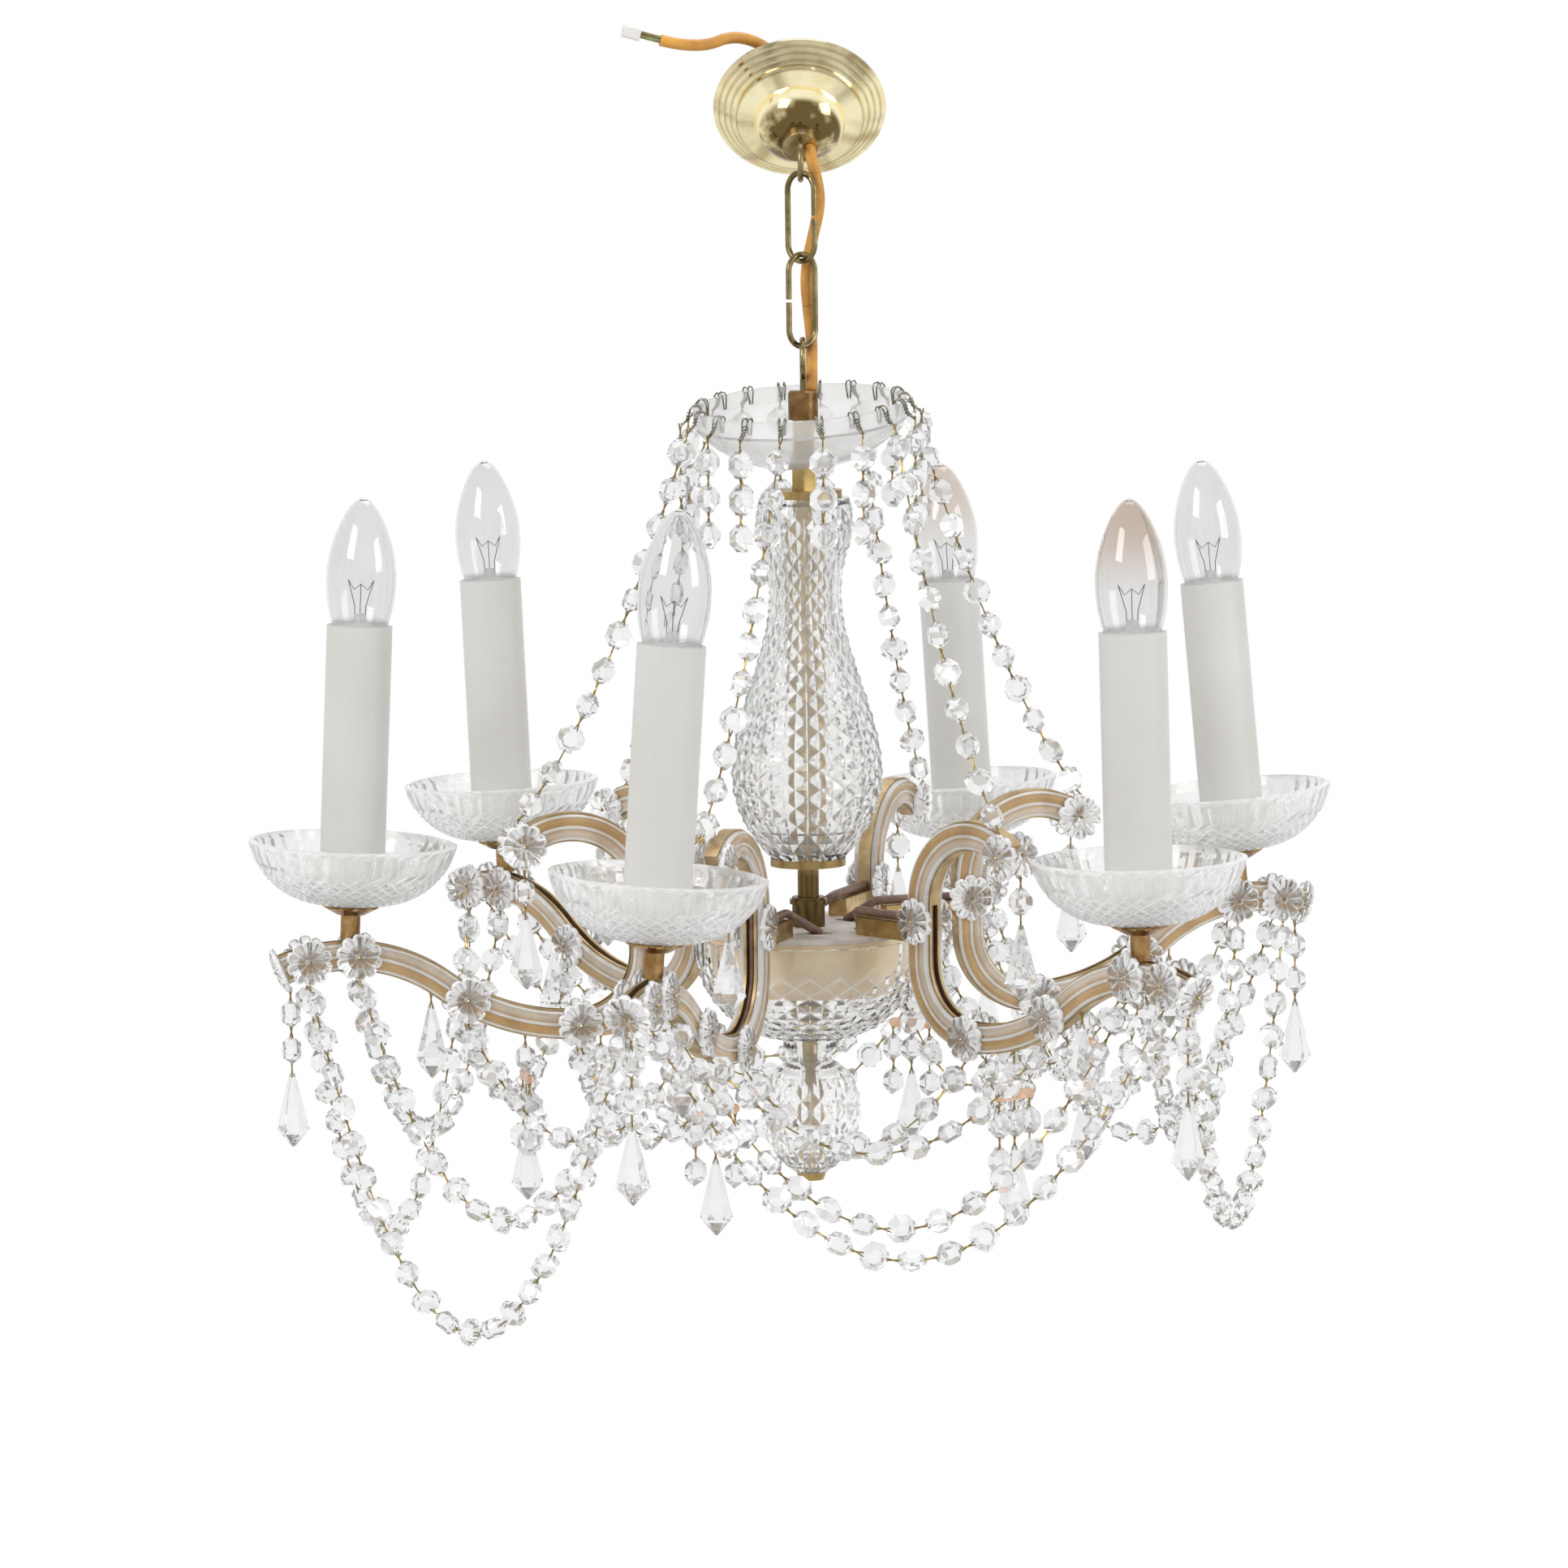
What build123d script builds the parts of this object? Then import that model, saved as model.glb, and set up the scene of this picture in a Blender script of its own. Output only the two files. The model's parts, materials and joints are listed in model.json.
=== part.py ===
# Six-arm glass chandelier with strip-covered arms, in millimetres.
# The origin is the middle of the hanging ring and +Z is up. The arms' azimuths are turned so that
# the photographed front faces -Y.
import os
from math import atan, cos, degrees, radians, sin, sqrt, tan

from build123d import *

os.makedirs("parts", exist_ok=True)

# Ring, chain links and stem eye: radii and lengths are to the middle of the wire
ring_radius = 9.25
ring_wire = 3.0
link_wire = 3.0
link_width = 17.5
link_split = 1.5
upper_link_length = 45.0
lower_link_length = 47.0
upper_link_turn = -40.0
lower_link_turn = 40.0
eye_radius = 9.5
eye_wire = 3.0
chain_play = 0.5

# Canopy
canopy_tilt = 51.0
canopy_radius = 44.5
canopy_sheet = 1.2
canopy_depth = 27.0
collar_radius = 9.2
collar_wall = 0.8
collar_length = 6.0
collar_fit = 0.05
grommet_length = 4.5
ring_gap = 0.3
ridge_count = 4
ridge_width = 3.0
ridge_step = 2.0

# Flex
cord_diameter = 6.0
cord_side = 4.9
cord_fit = 0.2
core_diameter = 2.0
core_length = 11.0
block_size = (8.0, 6.5, 9.0)
bend_share = 0.45
drop_cuts = [0.0, 0.17, 0.36, 0.68, 1.0]

# Stem and its nuts
stem_diameter = 11.0
stem_fit = 0.25
stem_bore = 7.0
rod_diameter = 8.0
cap_diameter = 15.4
cap_length = 15.0
cap_floor = 5.0
eye_neck = 7.0
nut_length = 11.5
nut_flats = 17.0
disc_diameter = 39.0
disc_thickness = 4.0
bare_stem = 16.5
coupling_length = 15.5
coupling_diameter = 17.0
coupling_ridge = 1.2
end_nut_length = 4.0

# Crown dish
crown_radius = 55.0
crown_depth = 32.0
crown_foot = 14.0
crown_wall = 3.0
crown_drop = 7.5
crown_tip = 7.5
crown_lean = 3.0
crown_slack = 1.8
crown_lip = 9.0
clip_count = 18
clip_wire = 0.9
clip_reach = 9.0

# Glass column
column_height = 186.5
column_lip = 26.0
column_lip_drop = 14.0
column_neck = 21.0
column_neck_drop = 33.0
column_belly = 39.5
column_belly_drop = 146.0
column_foot = 19.0
column_wall = 4.0
column_flare = 3.0
column_slack = 0.8

# Hub, bowl and finial
plate_radius = 57.0
plate_thickness = 2.2
wire_hole = 7.0
wire_hole_circle = 29.0
drum_radius = 49.5
drum_depth = 28.5
drum_wall = 1.5
band_height = 2.5
band_proud = 6.0
bowl_radius = 60.0
bowl_depth = 52.0
bowl_wall = 3.5
bowl_foot = 25.0
washer_thickness = 1.5
finial_neck_radius = 14.0
finial_neck_length = 11.8
finial_collar = 5.0
finial_waist = 11.4
finial_radius = 26.0
finial_length = 59.0
finial_foot = 8.0

# Arms: the centreline is a riser between a scroll and a foot, then a belly and a crest
arm_height = 15.0
arm_width = 7.0
riser_radius = 87.0
riser_length = 28.4
riser_rise = 19.6
scroll_radius = 38.0
scroll_open = 51.0
foot_radius = 36.0
belly_angle = 51.2
crest_radius = 84.6
crest_past = 20.5
channel_width = 4.0
channel_depth = 4.5
strip_height = 13.0
strip_thickness = 3.0
arm_wire = 2.6
tail_wire = 4.6
bracket_width = 10.0
bracket_height = 9.0
bracket_inset = 16.0
bracket_gap = 0.8
tail_radius = 6.0

# Arms as they stand: azimuth, how far the candle sits off its level, and the candle's lean
arm_azimuths = [192.1, 251.5, 312.3, 17.2, 68.1, 133.6]
arm_offsets = [-3.4, 0.8, -0.3, 4.7, -5.2, 2.0]
candle_leans = [2.9, 4.0, -1.2, -4.9, -3.2, -2.1]

# Rosettes
rosette_radius = 12.0
rosette_thickness = 5.0
rosette_taper = 35.0
petal_count = 10
tip_gap = 0.3
mid_x = 94.0

# Candles
candle_radius = 239.5
candle_back = 5.4
nipple_diameter = 10.0
nipple_length = 13.8
nipple_lift = 0.6
nipple_wall = 1.2
gallery_radius = 14.0
gallery_height = 3.6
gallery_scallops = 12
gallery_wall = 1.2
pan_radius = 53.2
pan_depth = 31.6
pan_wall = 3.0
pan_foot = 15.0
sleeve_diameter = 33.2
sleeve_wall = 1.5
sleeve_length = 139.0
holder_diameter = 28.0
holder_length = 42.0
holder_rim = 1.0
bulb_radius = 17.5
bulb_height = 64.6
bulb_widest = 24.0
bulb_mouth = 15.0
bulb_neck = 11.0
bulb_sunk = 24.0
bulb_shoulder = 14.0
bulb_glass = 0.8
bulb_play = 0.5

# Strings
bead_flats = 14.0
bead_thickness = 9.0
bead_taper = 34.0
bead_pitch = 18.5
bead_twist = 67.0
link_diameter = 1.0
string_gap = 0.3
spear_length = 38.0
spear_width = 14.5
spear_tip = 9.0
spear_neck = 1.2
spear_end = 0.5
bar_length = 25.0
bar_height = 5.0
bar_thickness = 2.2
bar_x = 64.0
strand_pitch = 10.5
mid_drop_x = 112.0
crown_beads = 3
upper_sag = 22.0
outer_sags = [162.5, 116.5, 130.5, 123.5, 128.5, 151.5]
middle_sags = [110.5, 106.5, 93.5, 98.5, 95.5, 99.5]
inner_sag = 51.5
foot_sag = 39.5

# Levels, from the ring down
upper_link_top = -ring_radius + (ring_wire + link_wire) / 2 + chain_play
upper_link_bottom = upper_link_top - upper_link_length
lower_link_top = upper_link_bottom + link_wire + chain_play
lower_link_bottom = lower_link_top - lower_link_length
eye_top = lower_link_bottom + (link_wire + eye_wire) / 2 + chain_play
cap_top = eye_top - 2 * eye_radius - eye_neck
stem_top = cap_top - cap_floor
crown_rim = cap_top - crown_drop
crown_bottom = crown_rim - crown_depth
crown_nut_bottom = crown_bottom - nut_length
column_top = crown_nut_bottom - disc_thickness
column_bottom = column_top - column_height
base_disc_bottom = column_bottom - disc_thickness
coupling_top = base_disc_bottom - bare_stem
plate_top = coupling_top - coupling_length
plate_bottom = plate_top - plate_thickness
bowl_bottom = plate_bottom - band_height - bowl_depth
finial_top = bowl_bottom - washer_thickness
finial_bottom = finial_top - finial_neck_length - finial_length
stem_bottom = finial_bottom - end_nut_length


def keep(solid, name):
    """Label a finished piece and write it."""
    solid.label = name
    export_step(solid, f"parts/{name}.step")


def keep_group(solids, name):
    """Write separate solids of one kind as one node."""
    keep(Compound(children=list(solids)), name)


# Hanging ring, edge on to the front
with BuildPart() as hanging_ring:
    Torus(ring_radius, ring_wire / 2, rotation=(0, 90, 0))
keep(hanging_ring.part, "hanging_ring")


def link_plane(turn, top, length):
    """The upright plane of a chain link, centred on it."""
    across = (cos(radians(turn)), sin(radians(turn)), 0)
    facing = (sin(radians(turn)), -cos(radians(turn)), 0)
    return Plane(origin=(0, 0, top - length / 2), x_dir=across, z_dir=facing)


def chain_link(turn, top, length, split_side):
    """A long wire link with a split in the middle of one leg."""
    plane = link_plane(turn, top, length)
    half_width = link_width / 2 * split_side
    half_leg = (length - link_width) / 2
    crown = length / 2
    with BuildPart() as link:
        with BuildLine(plane) as wire:
            Line((half_width, link_split / 2), (half_width, half_leg))
            ThreePointArc((half_width, half_leg), (0, crown), (-half_width, half_leg))
            Line((-half_width, half_leg), (-half_width, -half_leg))
            ThreePointArc((-half_width, -half_leg), (0, -crown), (half_width, -half_leg))
            Line((half_width, -half_leg), (half_width, -link_split / 2))
        with BuildSketch(Plane(origin=wire.line @ 0, z_dir=wire.line % 0)):
            Circle(link_wire / 2)
        sweep(path=wire.line)
    return link.part


keep(chain_link(upper_link_turn, upper_link_top, upper_link_length, 1), "chain_link_upper")
keep(chain_link(lower_link_turn, lower_link_top, lower_link_length, -1), "chain_link_lower")

# Canopy: a spun dish tipped back on the ring, open side away from the ring
tip = radians(canopy_tilt)
canopy_plane = Plane(origin=(0, 0, 0), x_dir=(1, 0, 0), z_dir=(0, sin(tip), cos(tip)))
collar_bottom = ring_radius + ring_wire / 2 + ring_gap
collar_top = collar_bottom + collar_length
rim_level = collar_top + canopy_depth
ridges_from = canopy_radius - ridge_count * ridge_width
dome_radius = ridges_from - 9.5

with BuildPart() as canopy_dish:
    with BuildSketch(Plane(canopy_plane.origin, canopy_plane.x_dir, -canopy_plane.y_dir)):
        with BuildLine():
            seat = collar_top + canopy_sheet / 2
            shoulder = (collar_radius, seat)
            dome_top = rim_level - ridge_count * ridge_step - 3.5
            dome_end = (dome_radius, dome_top)
            dome_middle = (dome_radius - 5.0, (seat + dome_top) / 2 - 3.0)
            Line((collar_radius - collar_wall, seat), shoulder)
            ThreePointArc(shoulder, dome_middle, dome_end)
            ridge_points = [dome_end, (ridges_from, rim_level - ridge_count * ridge_step - 1.5)]
            for index in range(ridge_count):
                inner = ridges_from + index * ridge_width
                level = rim_level - (ridge_count - index) * ridge_step
                ridge_points.append((inner + 0.6, level + ridge_step - 0.5))
                ridge_points.append((inner + ridge_width, level + ridge_step))
            Polyline(*ridge_points)
        trace(line_width=canopy_sheet)
    revolve(axis=Axis(canopy_plane.origin, canopy_plane.z_dir))
keep(canopy_dish.part, "canopy_dish")

# Collar and grommet between the dish and the ring; the flex passes at one side of the ring
with BuildPart() as canopy_collar:
    with BuildSketch(canopy_plane.offset(collar_bottom)):
        Circle(collar_radius)
        Circle(collar_radius - collar_wall, mode=Mode.SUBTRACT)
    extrude(amount=collar_length)
keep(canopy_collar.part, "canopy_collar")

with BuildPart() as cord_grommet:
    with BuildSketch(canopy_plane.offset(collar_bottom)):
        Circle(collar_radius - collar_wall - collar_fit)
        with Locations((cord_side, 0)):
            Circle(cord_diameter / 2 + cord_fit, mode=Mode.SUBTRACT)
    extrude(amount=grommet_length)
keep(cord_grommet.part, "cord_grommet")


# Flex: routes of points chosen by hand, from the grommet up to the bare end and down to the cap
def on_canopy_axis(level):
    """A point of the flex's hole at this distance from the ring's middle."""
    return tuple(canopy_plane.from_local_coords((cord_side, 0, level)))


cord_start = on_canopy_axis(collar_top + 2.0)
tail_route = [
    cord_start,
    on_canopy_axis(rim_level),
    (-9.0, 33.0, 54.0),
    (-31.0, 21.0, 66.0),
    (-52.0, 14.0, 57.5),
    (-71.0, 11.0, 62.5),
]
drop_route = [
    cord_start,
    on_canopy_axis(collar_bottom - 1.5),
    (6.4, 3.2, -2.0),
    (9.0, 1.6, -12.5),
    (9.6, 2.2, -22.5),
    (6.6, 5.2, -36.0),
    (3.2, 9.6, -49.5),
    (2.0, 10.6, -62.0),
    (3.2, 10.8, -75.0),
    (5.0, 10.4, -92.0),
    (4.6, 0.0, -104.0),
    (4.6, 0.0, cap_top),
]


def bend_radii(points):
    """The largest bend that the two runs at each corner allow."""
    radii = []
    for before, corner, after in zip(points, points[1:], points[2:]):
        run_in = Vector(corner) - Vector(before)
        run_out = Vector(after) - Vector(corner)
        turn = radians(run_in.get_angle(run_out))
        radii.append(bend_share * min(run_in.length, run_out.length) / tan(turn / 2))
    return radii


def cord_path(points):
    """Straight runs joined by tangent arcs."""
    radii = bend_radii(points)
    print("bend radii", [round(radius, 1) for radius in radii])
    return FilletPolyline(*points, radius=radii).wire()


def cord_tube(path, name):
    """A stretch of the flex along its path."""
    with BuildPart() as tube:
        with BuildSketch(Plane(origin=path @ 0, z_dir=path % 0)):
            Circle(cord_diameter / 2)
        sweep(path=path)
    section = tube.part.volume / path.length / (cord_diameter / 2) ** 2
    print(name, "length", round(path.length, 1), "volume over length and radius squared", round(section, 4))
    keep(tube.part, name)


cord_tube(cord_path(tail_route), "cord_tail")
drop_path = cord_path(drop_route)
drop_names = ["cord_neck", "cord_upper", "cord_middle", "cord_lower"]
for name, start, end in zip(drop_names, drop_cuts, drop_cuts[1:]):
    cord_tube(drop_path.trim(start, end), name)

# Bare end of the flex: three cores, one of them in a terminal block
tail_end = Vector(tail_route[-1])
tail_dir = (tail_end - Vector(tail_route[-2])).normalized()
end_plane = Plane(origin=tail_end, x_dir=(0, 1, 0), z_dir=tail_dir)
with BuildPart() as cord_cores:
    with BuildSketch(end_plane):
        with PolarLocations(core_diameter * 0.62, 3, start_angle=30):
            Circle(core_diameter / 2 - 0.02)
    extrude(amount=core_length)
keep(cord_cores.part, "cord_cores")

block_plane = end_plane.offset(core_length)
with BuildPart() as terminal_block:
    with BuildSketch(block_plane):
        RectangleRounded(block_size[0], block_size[1], 1.5)
        with GridLocations(block_size[0] / 2, 0, 2, 1):
            Circle(core_diameter / 2, mode=Mode.SUBTRACT)
    extrude(amount=block_size[2])
keep(terminal_block.part, "terminal_block")

# Stem eye, cap and the tube that carries everything below
with BuildPart() as stem_eye:
    with Locations((0, 0, eye_top - eye_radius)):
        Torus(eye_radius, eye_wire / 2, rotation=(0, 90, 0))
    with BuildSketch(Plane.XY.offset(cap_top)):
        Circle(eye_wire / 2)
    extrude(amount=eye_neck)
keep(stem_eye.part, "stem_eye")

with BuildPart() as stem_cap:
    with BuildSketch(Plane.XY.offset(cap_top)):
        Circle(cap_diameter / 2)
    extrude(amount=-cap_length)
    with BuildSketch(Plane.XY.offset(stem_top)):
        Circle(stem_diameter / 2 + stem_fit)
    extrude(amount=cap_floor - cap_length, mode=Mode.SUBTRACT)
    chamfer(stem_cap.edges().group_by(Axis.Z)[-1], 1.0)
keep(stem_cap.part, "stem_cap")

with BuildPart() as central_stem:
    with BuildSketch(Plane.XY.offset(stem_top)):
        Circle(stem_diameter / 2)
    extrude(amount=bowl_bottom - stem_top)
    with BuildSketch(Plane.XY.offset(bowl_bottom)):
        Circle(rod_diameter / 2)
    extrude(amount=stem_bottom - bowl_bottom)
    with BuildSketch(Plane.XY.offset(stem_top)):
        Circle(stem_bore / 2)
    extrude(amount=plate_bottom - stem_top, mode=Mode.SUBTRACT)
keep(central_stem.part, "central_stem")


def stem_disc(top, thickness, radius, sides=0):
    """A disc or a nut threaded on the stem."""
    with BuildPart() as disc:
        with BuildSketch(Plane.XY.offset(top)):
            if sides:
                RegularPolygon(radius, sides, major_radius=False)
            else:
                Circle(radius)
            Circle(stem_diameter / 2 + stem_fit, mode=Mode.SUBTRACT)
        extrude(amount=-thickness)
    return disc.part


with BuildPart() as end_nut:
    with BuildSketch(Plane.XY.offset(finial_bottom)):
        Circle(finial_foot)
        Circle(rod_diameter / 2 + stem_fit, mode=Mode.SUBTRACT)
    extrude(amount=-end_nut_length, taper=20)
crown_nut = stem_disc(crown_bottom, nut_length, nut_flats / 2, 6)
keep_group([crown_nut, end_nut.part], "stem_nuts")
cap_disc = stem_disc(crown_nut_bottom, disc_thickness, disc_diameter / 2)
base_disc = stem_disc(column_bottom, disc_thickness, disc_diameter / 2)
keep_group([cap_disc, base_disc], "column_discs")

with BuildPart() as stem_coupling:
    with BuildSketch(Plane.XY.offset(coupling_top)):
        Circle(coupling_diameter / 2)
    extrude(amount=-coupling_length)
    with BuildSketch(Plane.XY.offset(coupling_top - coupling_ridge)):
        Circle(coupling_diameter / 2 + coupling_ridge)
    extrude(amount=-2 * coupling_ridge)
    with BuildSketch(Plane.XY.offset(coupling_top)):
        Circle(stem_diameter / 2 + stem_fit)
    extrude(amount=-coupling_length, mode=Mode.SUBTRACT)
keep(stem_coupling.part, "stem_coupling")

# Crown dish, tipped to the front and to the left on its nut
crown_normal = Vector(-sin(radians(crown_lean)), -sin(radians(crown_tip)), 1).normalized()
crown_lift = nut_flats / sqrt(3) * sin(radians(crown_normal.get_angle(Vector(0, 0, 1)))) + stem_fit
crown_plane = Plane(origin=(0, 0, crown_bottom + crown_lift), x_dir=(1, 0, 0), z_dir=crown_normal)


def upright(plane, azimuth=0.0):
    """The half plane through a plane's own axis, x outward and y along the axis."""
    turned = plane.rotated((0, 0, azimuth))
    return Plane(turned.origin, turned.x_dir, -turned.y_dir)


with BuildPart() as crown_dish:
    with BuildSketch(upright(crown_plane)):
        with BuildLine():
            floor_level = crown_wall / 2
            lip = crown_radius - crown_wall / 2
            Line((stem_diameter / 2 + crown_slack, floor_level), (crown_foot, floor_level))
            ThreePointArc(
                (crown_foot, floor_level),
                ((crown_foot + lip) / 2 + crown_depth / 5, crown_depth / 3),
                (lip, crown_depth - crown_lip),
            )
            Line((lip, crown_depth - crown_lip), (lip, crown_depth))
        trace(line_width=crown_wall)
    revolve(axis=Axis(crown_plane.origin, crown_plane.z_dir))
keep(crown_dish.part, "crown_dish")

clip_inner = crown_radius - crown_wall - clip_wire / 2 - string_gap
clip_outer = crown_radius + clip_wire / 2 + string_gap
clip_top = crown_depth + clip_wire / 2 + string_gap
hook_radius = crown_radius + bead_flats / 2
with BuildPart() as clip:
    with BuildSketch(Plane.XZ):
        with BuildLine():
            Polyline(
                (clip_inner, clip_top - clip_reach),
                (clip_inner, clip_top),
                (clip_outer, clip_top),
                (hook_radius, clip_top - clip_reach),
            )
        trace(line_width=clip_wire)
    extrude(amount=clip_wire, both=True)
clip_turns = [index * 360 / clip_count for index in range(clip_count)]
keep_group([crown_plane * Rot(0, 0, turn) * clip.part for turn in clip_turns], "crown_clips")

# Glass column, hollow around the stem
column_bore = stem_diameter / 2 + column_slack
column_outside = [
    (column_lip - column_flare, column_top),
    (column_lip, column_top - column_lip_drop),
    (column_neck, column_top - column_neck_drop),
    (column_belly, column_top - column_belly_drop),
    (column_foot, column_bottom),
]
column_inside = [
    (column_foot - column_wall, column_bottom + column_wall),
    (column_belly - column_wall, column_top - column_belly_drop),
    (column_neck - column_wall, column_top - column_neck_drop),
    (column_lip - column_wall, column_top - column_lip_drop),
    (column_lip - column_flare - column_wall, column_top - column_wall),
]
with BuildPart() as column_glass:
    with BuildSketch(Plane.XZ):
        with BuildLine():
            Spline(*column_outside)
            Polyline(
                column_outside[-1],
                (column_bore, column_bottom),
                (column_bore, column_bottom + column_wall),
                column_inside[0],
            )
            Spline(*column_inside)
            Polyline(
                column_inside[-1],
                (column_bore, column_top - column_wall),
                (column_bore, column_top),
                column_outside[0],
            )
        make_face()
    revolve(axis=Axis.Z)
keep(column_glass.part, "column_glass")

# Hub plate with a wire hole for each arm, drum under it, glass bowl, washer and finial
hole_turns = [azimuth + 180 / len(arm_azimuths) for azimuth in arm_azimuths]
with BuildPart() as hub_plate:
    with BuildSketch(Plane.XY.offset(plate_top)):
        Circle(plate_radius)
        Circle(stem_diameter / 2 + stem_fit, mode=Mode.SUBTRACT)
        for turn in hole_turns:
            with PolarLocations(wire_hole_circle, 1, start_angle=turn):
                SlotOverall(2 * wire_hole, wire_hole, rotation=90, mode=Mode.SUBTRACT)
    extrude(amount=-plate_thickness)
keep(hub_plate.part, "hub_plate")

with BuildPart() as hub_drum:
    with BuildSketch(Plane.XZ):
        with BuildLine():
            Polyline(
                (stem_diameter / 2 + stem_fit, plate_bottom - drum_depth),
                (drum_radius, plate_bottom - drum_depth),
                (drum_radius, plate_bottom - band_height),
                (drum_radius + band_proud, plate_bottom - band_height),
                (drum_radius + band_proud, plate_bottom),
                (drum_radius - drum_wall, plate_bottom),
                (drum_radius - drum_wall, plate_bottom - drum_depth + drum_wall),
                (stem_diameter / 2 + stem_fit, plate_bottom - drum_depth + drum_wall),
                close=True,
            )
        make_face()
    revolve(axis=Axis.Z)
keep(hub_drum.part, "hub_drum")

bowl_rim = bowl_bottom + bowl_depth
with BuildPart() as hub_bowl:
    with BuildSketch(Plane.XZ):
        with BuildLine():
            floor_level = bowl_bottom + bowl_wall / 2
            lip = bowl_radius - bowl_wall / 2
            Line((stem_diameter / 2 + stem_fit, floor_level), (bowl_foot, floor_level))
            ThreePointArc(
                (bowl_foot, floor_level),
                (lip - bowl_depth / 7, bowl_bottom + bowl_depth * 0.42),
                (lip, bowl_rim),
            )
        trace(line_width=bowl_wall)
    revolve(axis=Axis.Z)
keep(hub_bowl.part, "hub_bowl")

with BuildPart() as bowl_washer:
    with BuildSketch(Plane.XY.offset(bowl_bottom)):
        Circle(finial_neck_radius)
        Circle(rod_diameter / 2 + stem_fit, mode=Mode.SUBTRACT)
    extrude(amount=-washer_thickness)
keep(bowl_washer.part, "bowl_washer")

with BuildPart() as finial_ball:
    with BuildSketch(Plane.XZ):
        with BuildLine():
            rod_wall = rod_diameter / 2 + stem_fit
            ball_top = finial_top - finial_neck_length
            waist = (finial_waist, ball_top)
            Polyline(
                (finial_foot, finial_bottom),
                (rod_wall, finial_bottom),
                (rod_wall, finial_top),
                (finial_neck_radius, finial_top),
                (finial_neck_radius, finial_top - finial_collar),
                (finial_waist, finial_top - finial_collar - finial_neck_radius + finial_waist),
                waist,
            )
            Spline(
                waist,
                (finial_radius, ball_top - finial_length * 0.52),
                (finial_foot, finial_bottom),
                tangents=[(1, -0.5), (-0.9, -0.5)],
            )
        make_face()
    revolve(axis=Axis.Z)
keep(finial_ball.part, "finial_ball")


# Arms, each in its own upright plane through the stem, x outward from its riser and y up
def arm_plane(index):
    """The plane of one arm, pitched so that its candle sits at its own level."""
    azimuth = radians(arm_azimuths[index])
    pitch = arm_offsets[index] / (candle_radius - riser_radius)
    outward = Vector(cos(azimuth), sin(azimuth), 0)
    origin = outward * riser_radius + Vector(0, 0, plate_top)
    return Plane(origin, x_dir=outward + Vector(0, 0, pitch), z_dir=(sin(azimuth), -cos(azimuth), 0))


riser_top = riser_rise
riser_foot = riser_rise - riser_length
candle_reach = candle_radius - riser_radius
crest_x = candle_reach + candle_back
crest_reach = (crest_x - foot_radius) / cos(radians(belly_angle))
belly_radius = crest_reach - crest_radius
belly_level = riser_foot - foot_radius + belly_radius
crest_level = belly_level - crest_reach * sin(radians(belly_angle))


def arm_line(raised=0.0, from_riser=False):
    """The arm's centreline, or a line beside it on the upper side, from the riser or the scroll."""
    if not from_riser:
        CenterArc((scroll_radius, riser_top), scroll_radius - raised, scroll_open, 180 - scroll_open)
    Line((raised, riser_top), (raised, riser_foot))
    CenterArc((foot_radius, riser_foot), foot_radius - raised, 180, 90)
    CenterArc((foot_radius, belly_level), belly_radius - raised, 270, 90 - belly_angle)
    CenterArc((crest_x, crest_level), crest_radius + raised, 180 - belly_angle, belly_angle - 90 - crest_past)


def arm_point(x, lower=0.0):
    """A point between the foot and the arm's end, on the centreline or on a line below it."""
    if x < foot_radius + belly_radius * cos(radians(belly_angle)):
        return (x, belly_level - sqrt((belly_radius + lower) ** 2 - (x - foot_radius) ** 2))
    return (x, crest_level + sqrt((crest_radius - lower) ** 2 - (x - crest_x) ** 2))


arm_planes = [arm_plane(index) for index in range(len(arm_azimuths))]
channel_middle = (arm_height - channel_depth) / 2
wire_middle = arm_height / 2 - channel_depth + arm_wire / 2 + string_gap
strips = []
wires = []
for number, plane in enumerate(arm_planes, 1):
    with BuildPart() as arm:
        with BuildSketch(plane):
            with BuildLine():
                arm_line()
            trace(line_width=arm_height)
        extrude(amount=arm_width / 2, both=True)
        with BuildSketch(plane):
            with BuildLine():
                arm_line(channel_middle, from_riser=True)
            trace(line_width=channel_depth)
        extrude(amount=channel_width / 2, both=True, mode=Mode.SUBTRACT)
    keep(arm.part, f"arm_{number}")
    for side in (1, -1):
        with BuildPart() as strip:
            with BuildSketch(plane.offset(side * arm_width / 2)):
                with BuildLine():
                    arm_line()
                trace(line_width=strip_height)
            extrude(amount=side * strip_thickness)
        strips.append(strip.part)
    with BuildPart() as wire:
        with BuildLine(plane) as wire_line:
            arm_line(wire_middle, from_riser=True)
        with BuildSketch(Plane(origin=wire_line.line @ 0, z_dir=wire_line.line % 0)):
            Circle(arm_wire / 2)
        sweep(path=wire_line.line)
    wires.append(wire.part)
keep_group(strips, "arm_glass")

bracket_end = riser_radius - arm_height / 2 - bracket_gap
bracket_start = plate_radius - bracket_inset
brackets = []
for azimuth in arm_azimuths:
    with BuildPart() as bracket:
        with BuildSketch(Plane.XY.offset(plate_top).rotated((0, 0, azimuth))):
            with Locations(((bracket_start + bracket_end) / 2, 0)):
                Rectangle(bracket_end - bracket_start, bracket_width)
        extrude(amount=bracket_height)
    brackets.append(bracket.part)
keep_group(brackets, "arm_brackets")

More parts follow.
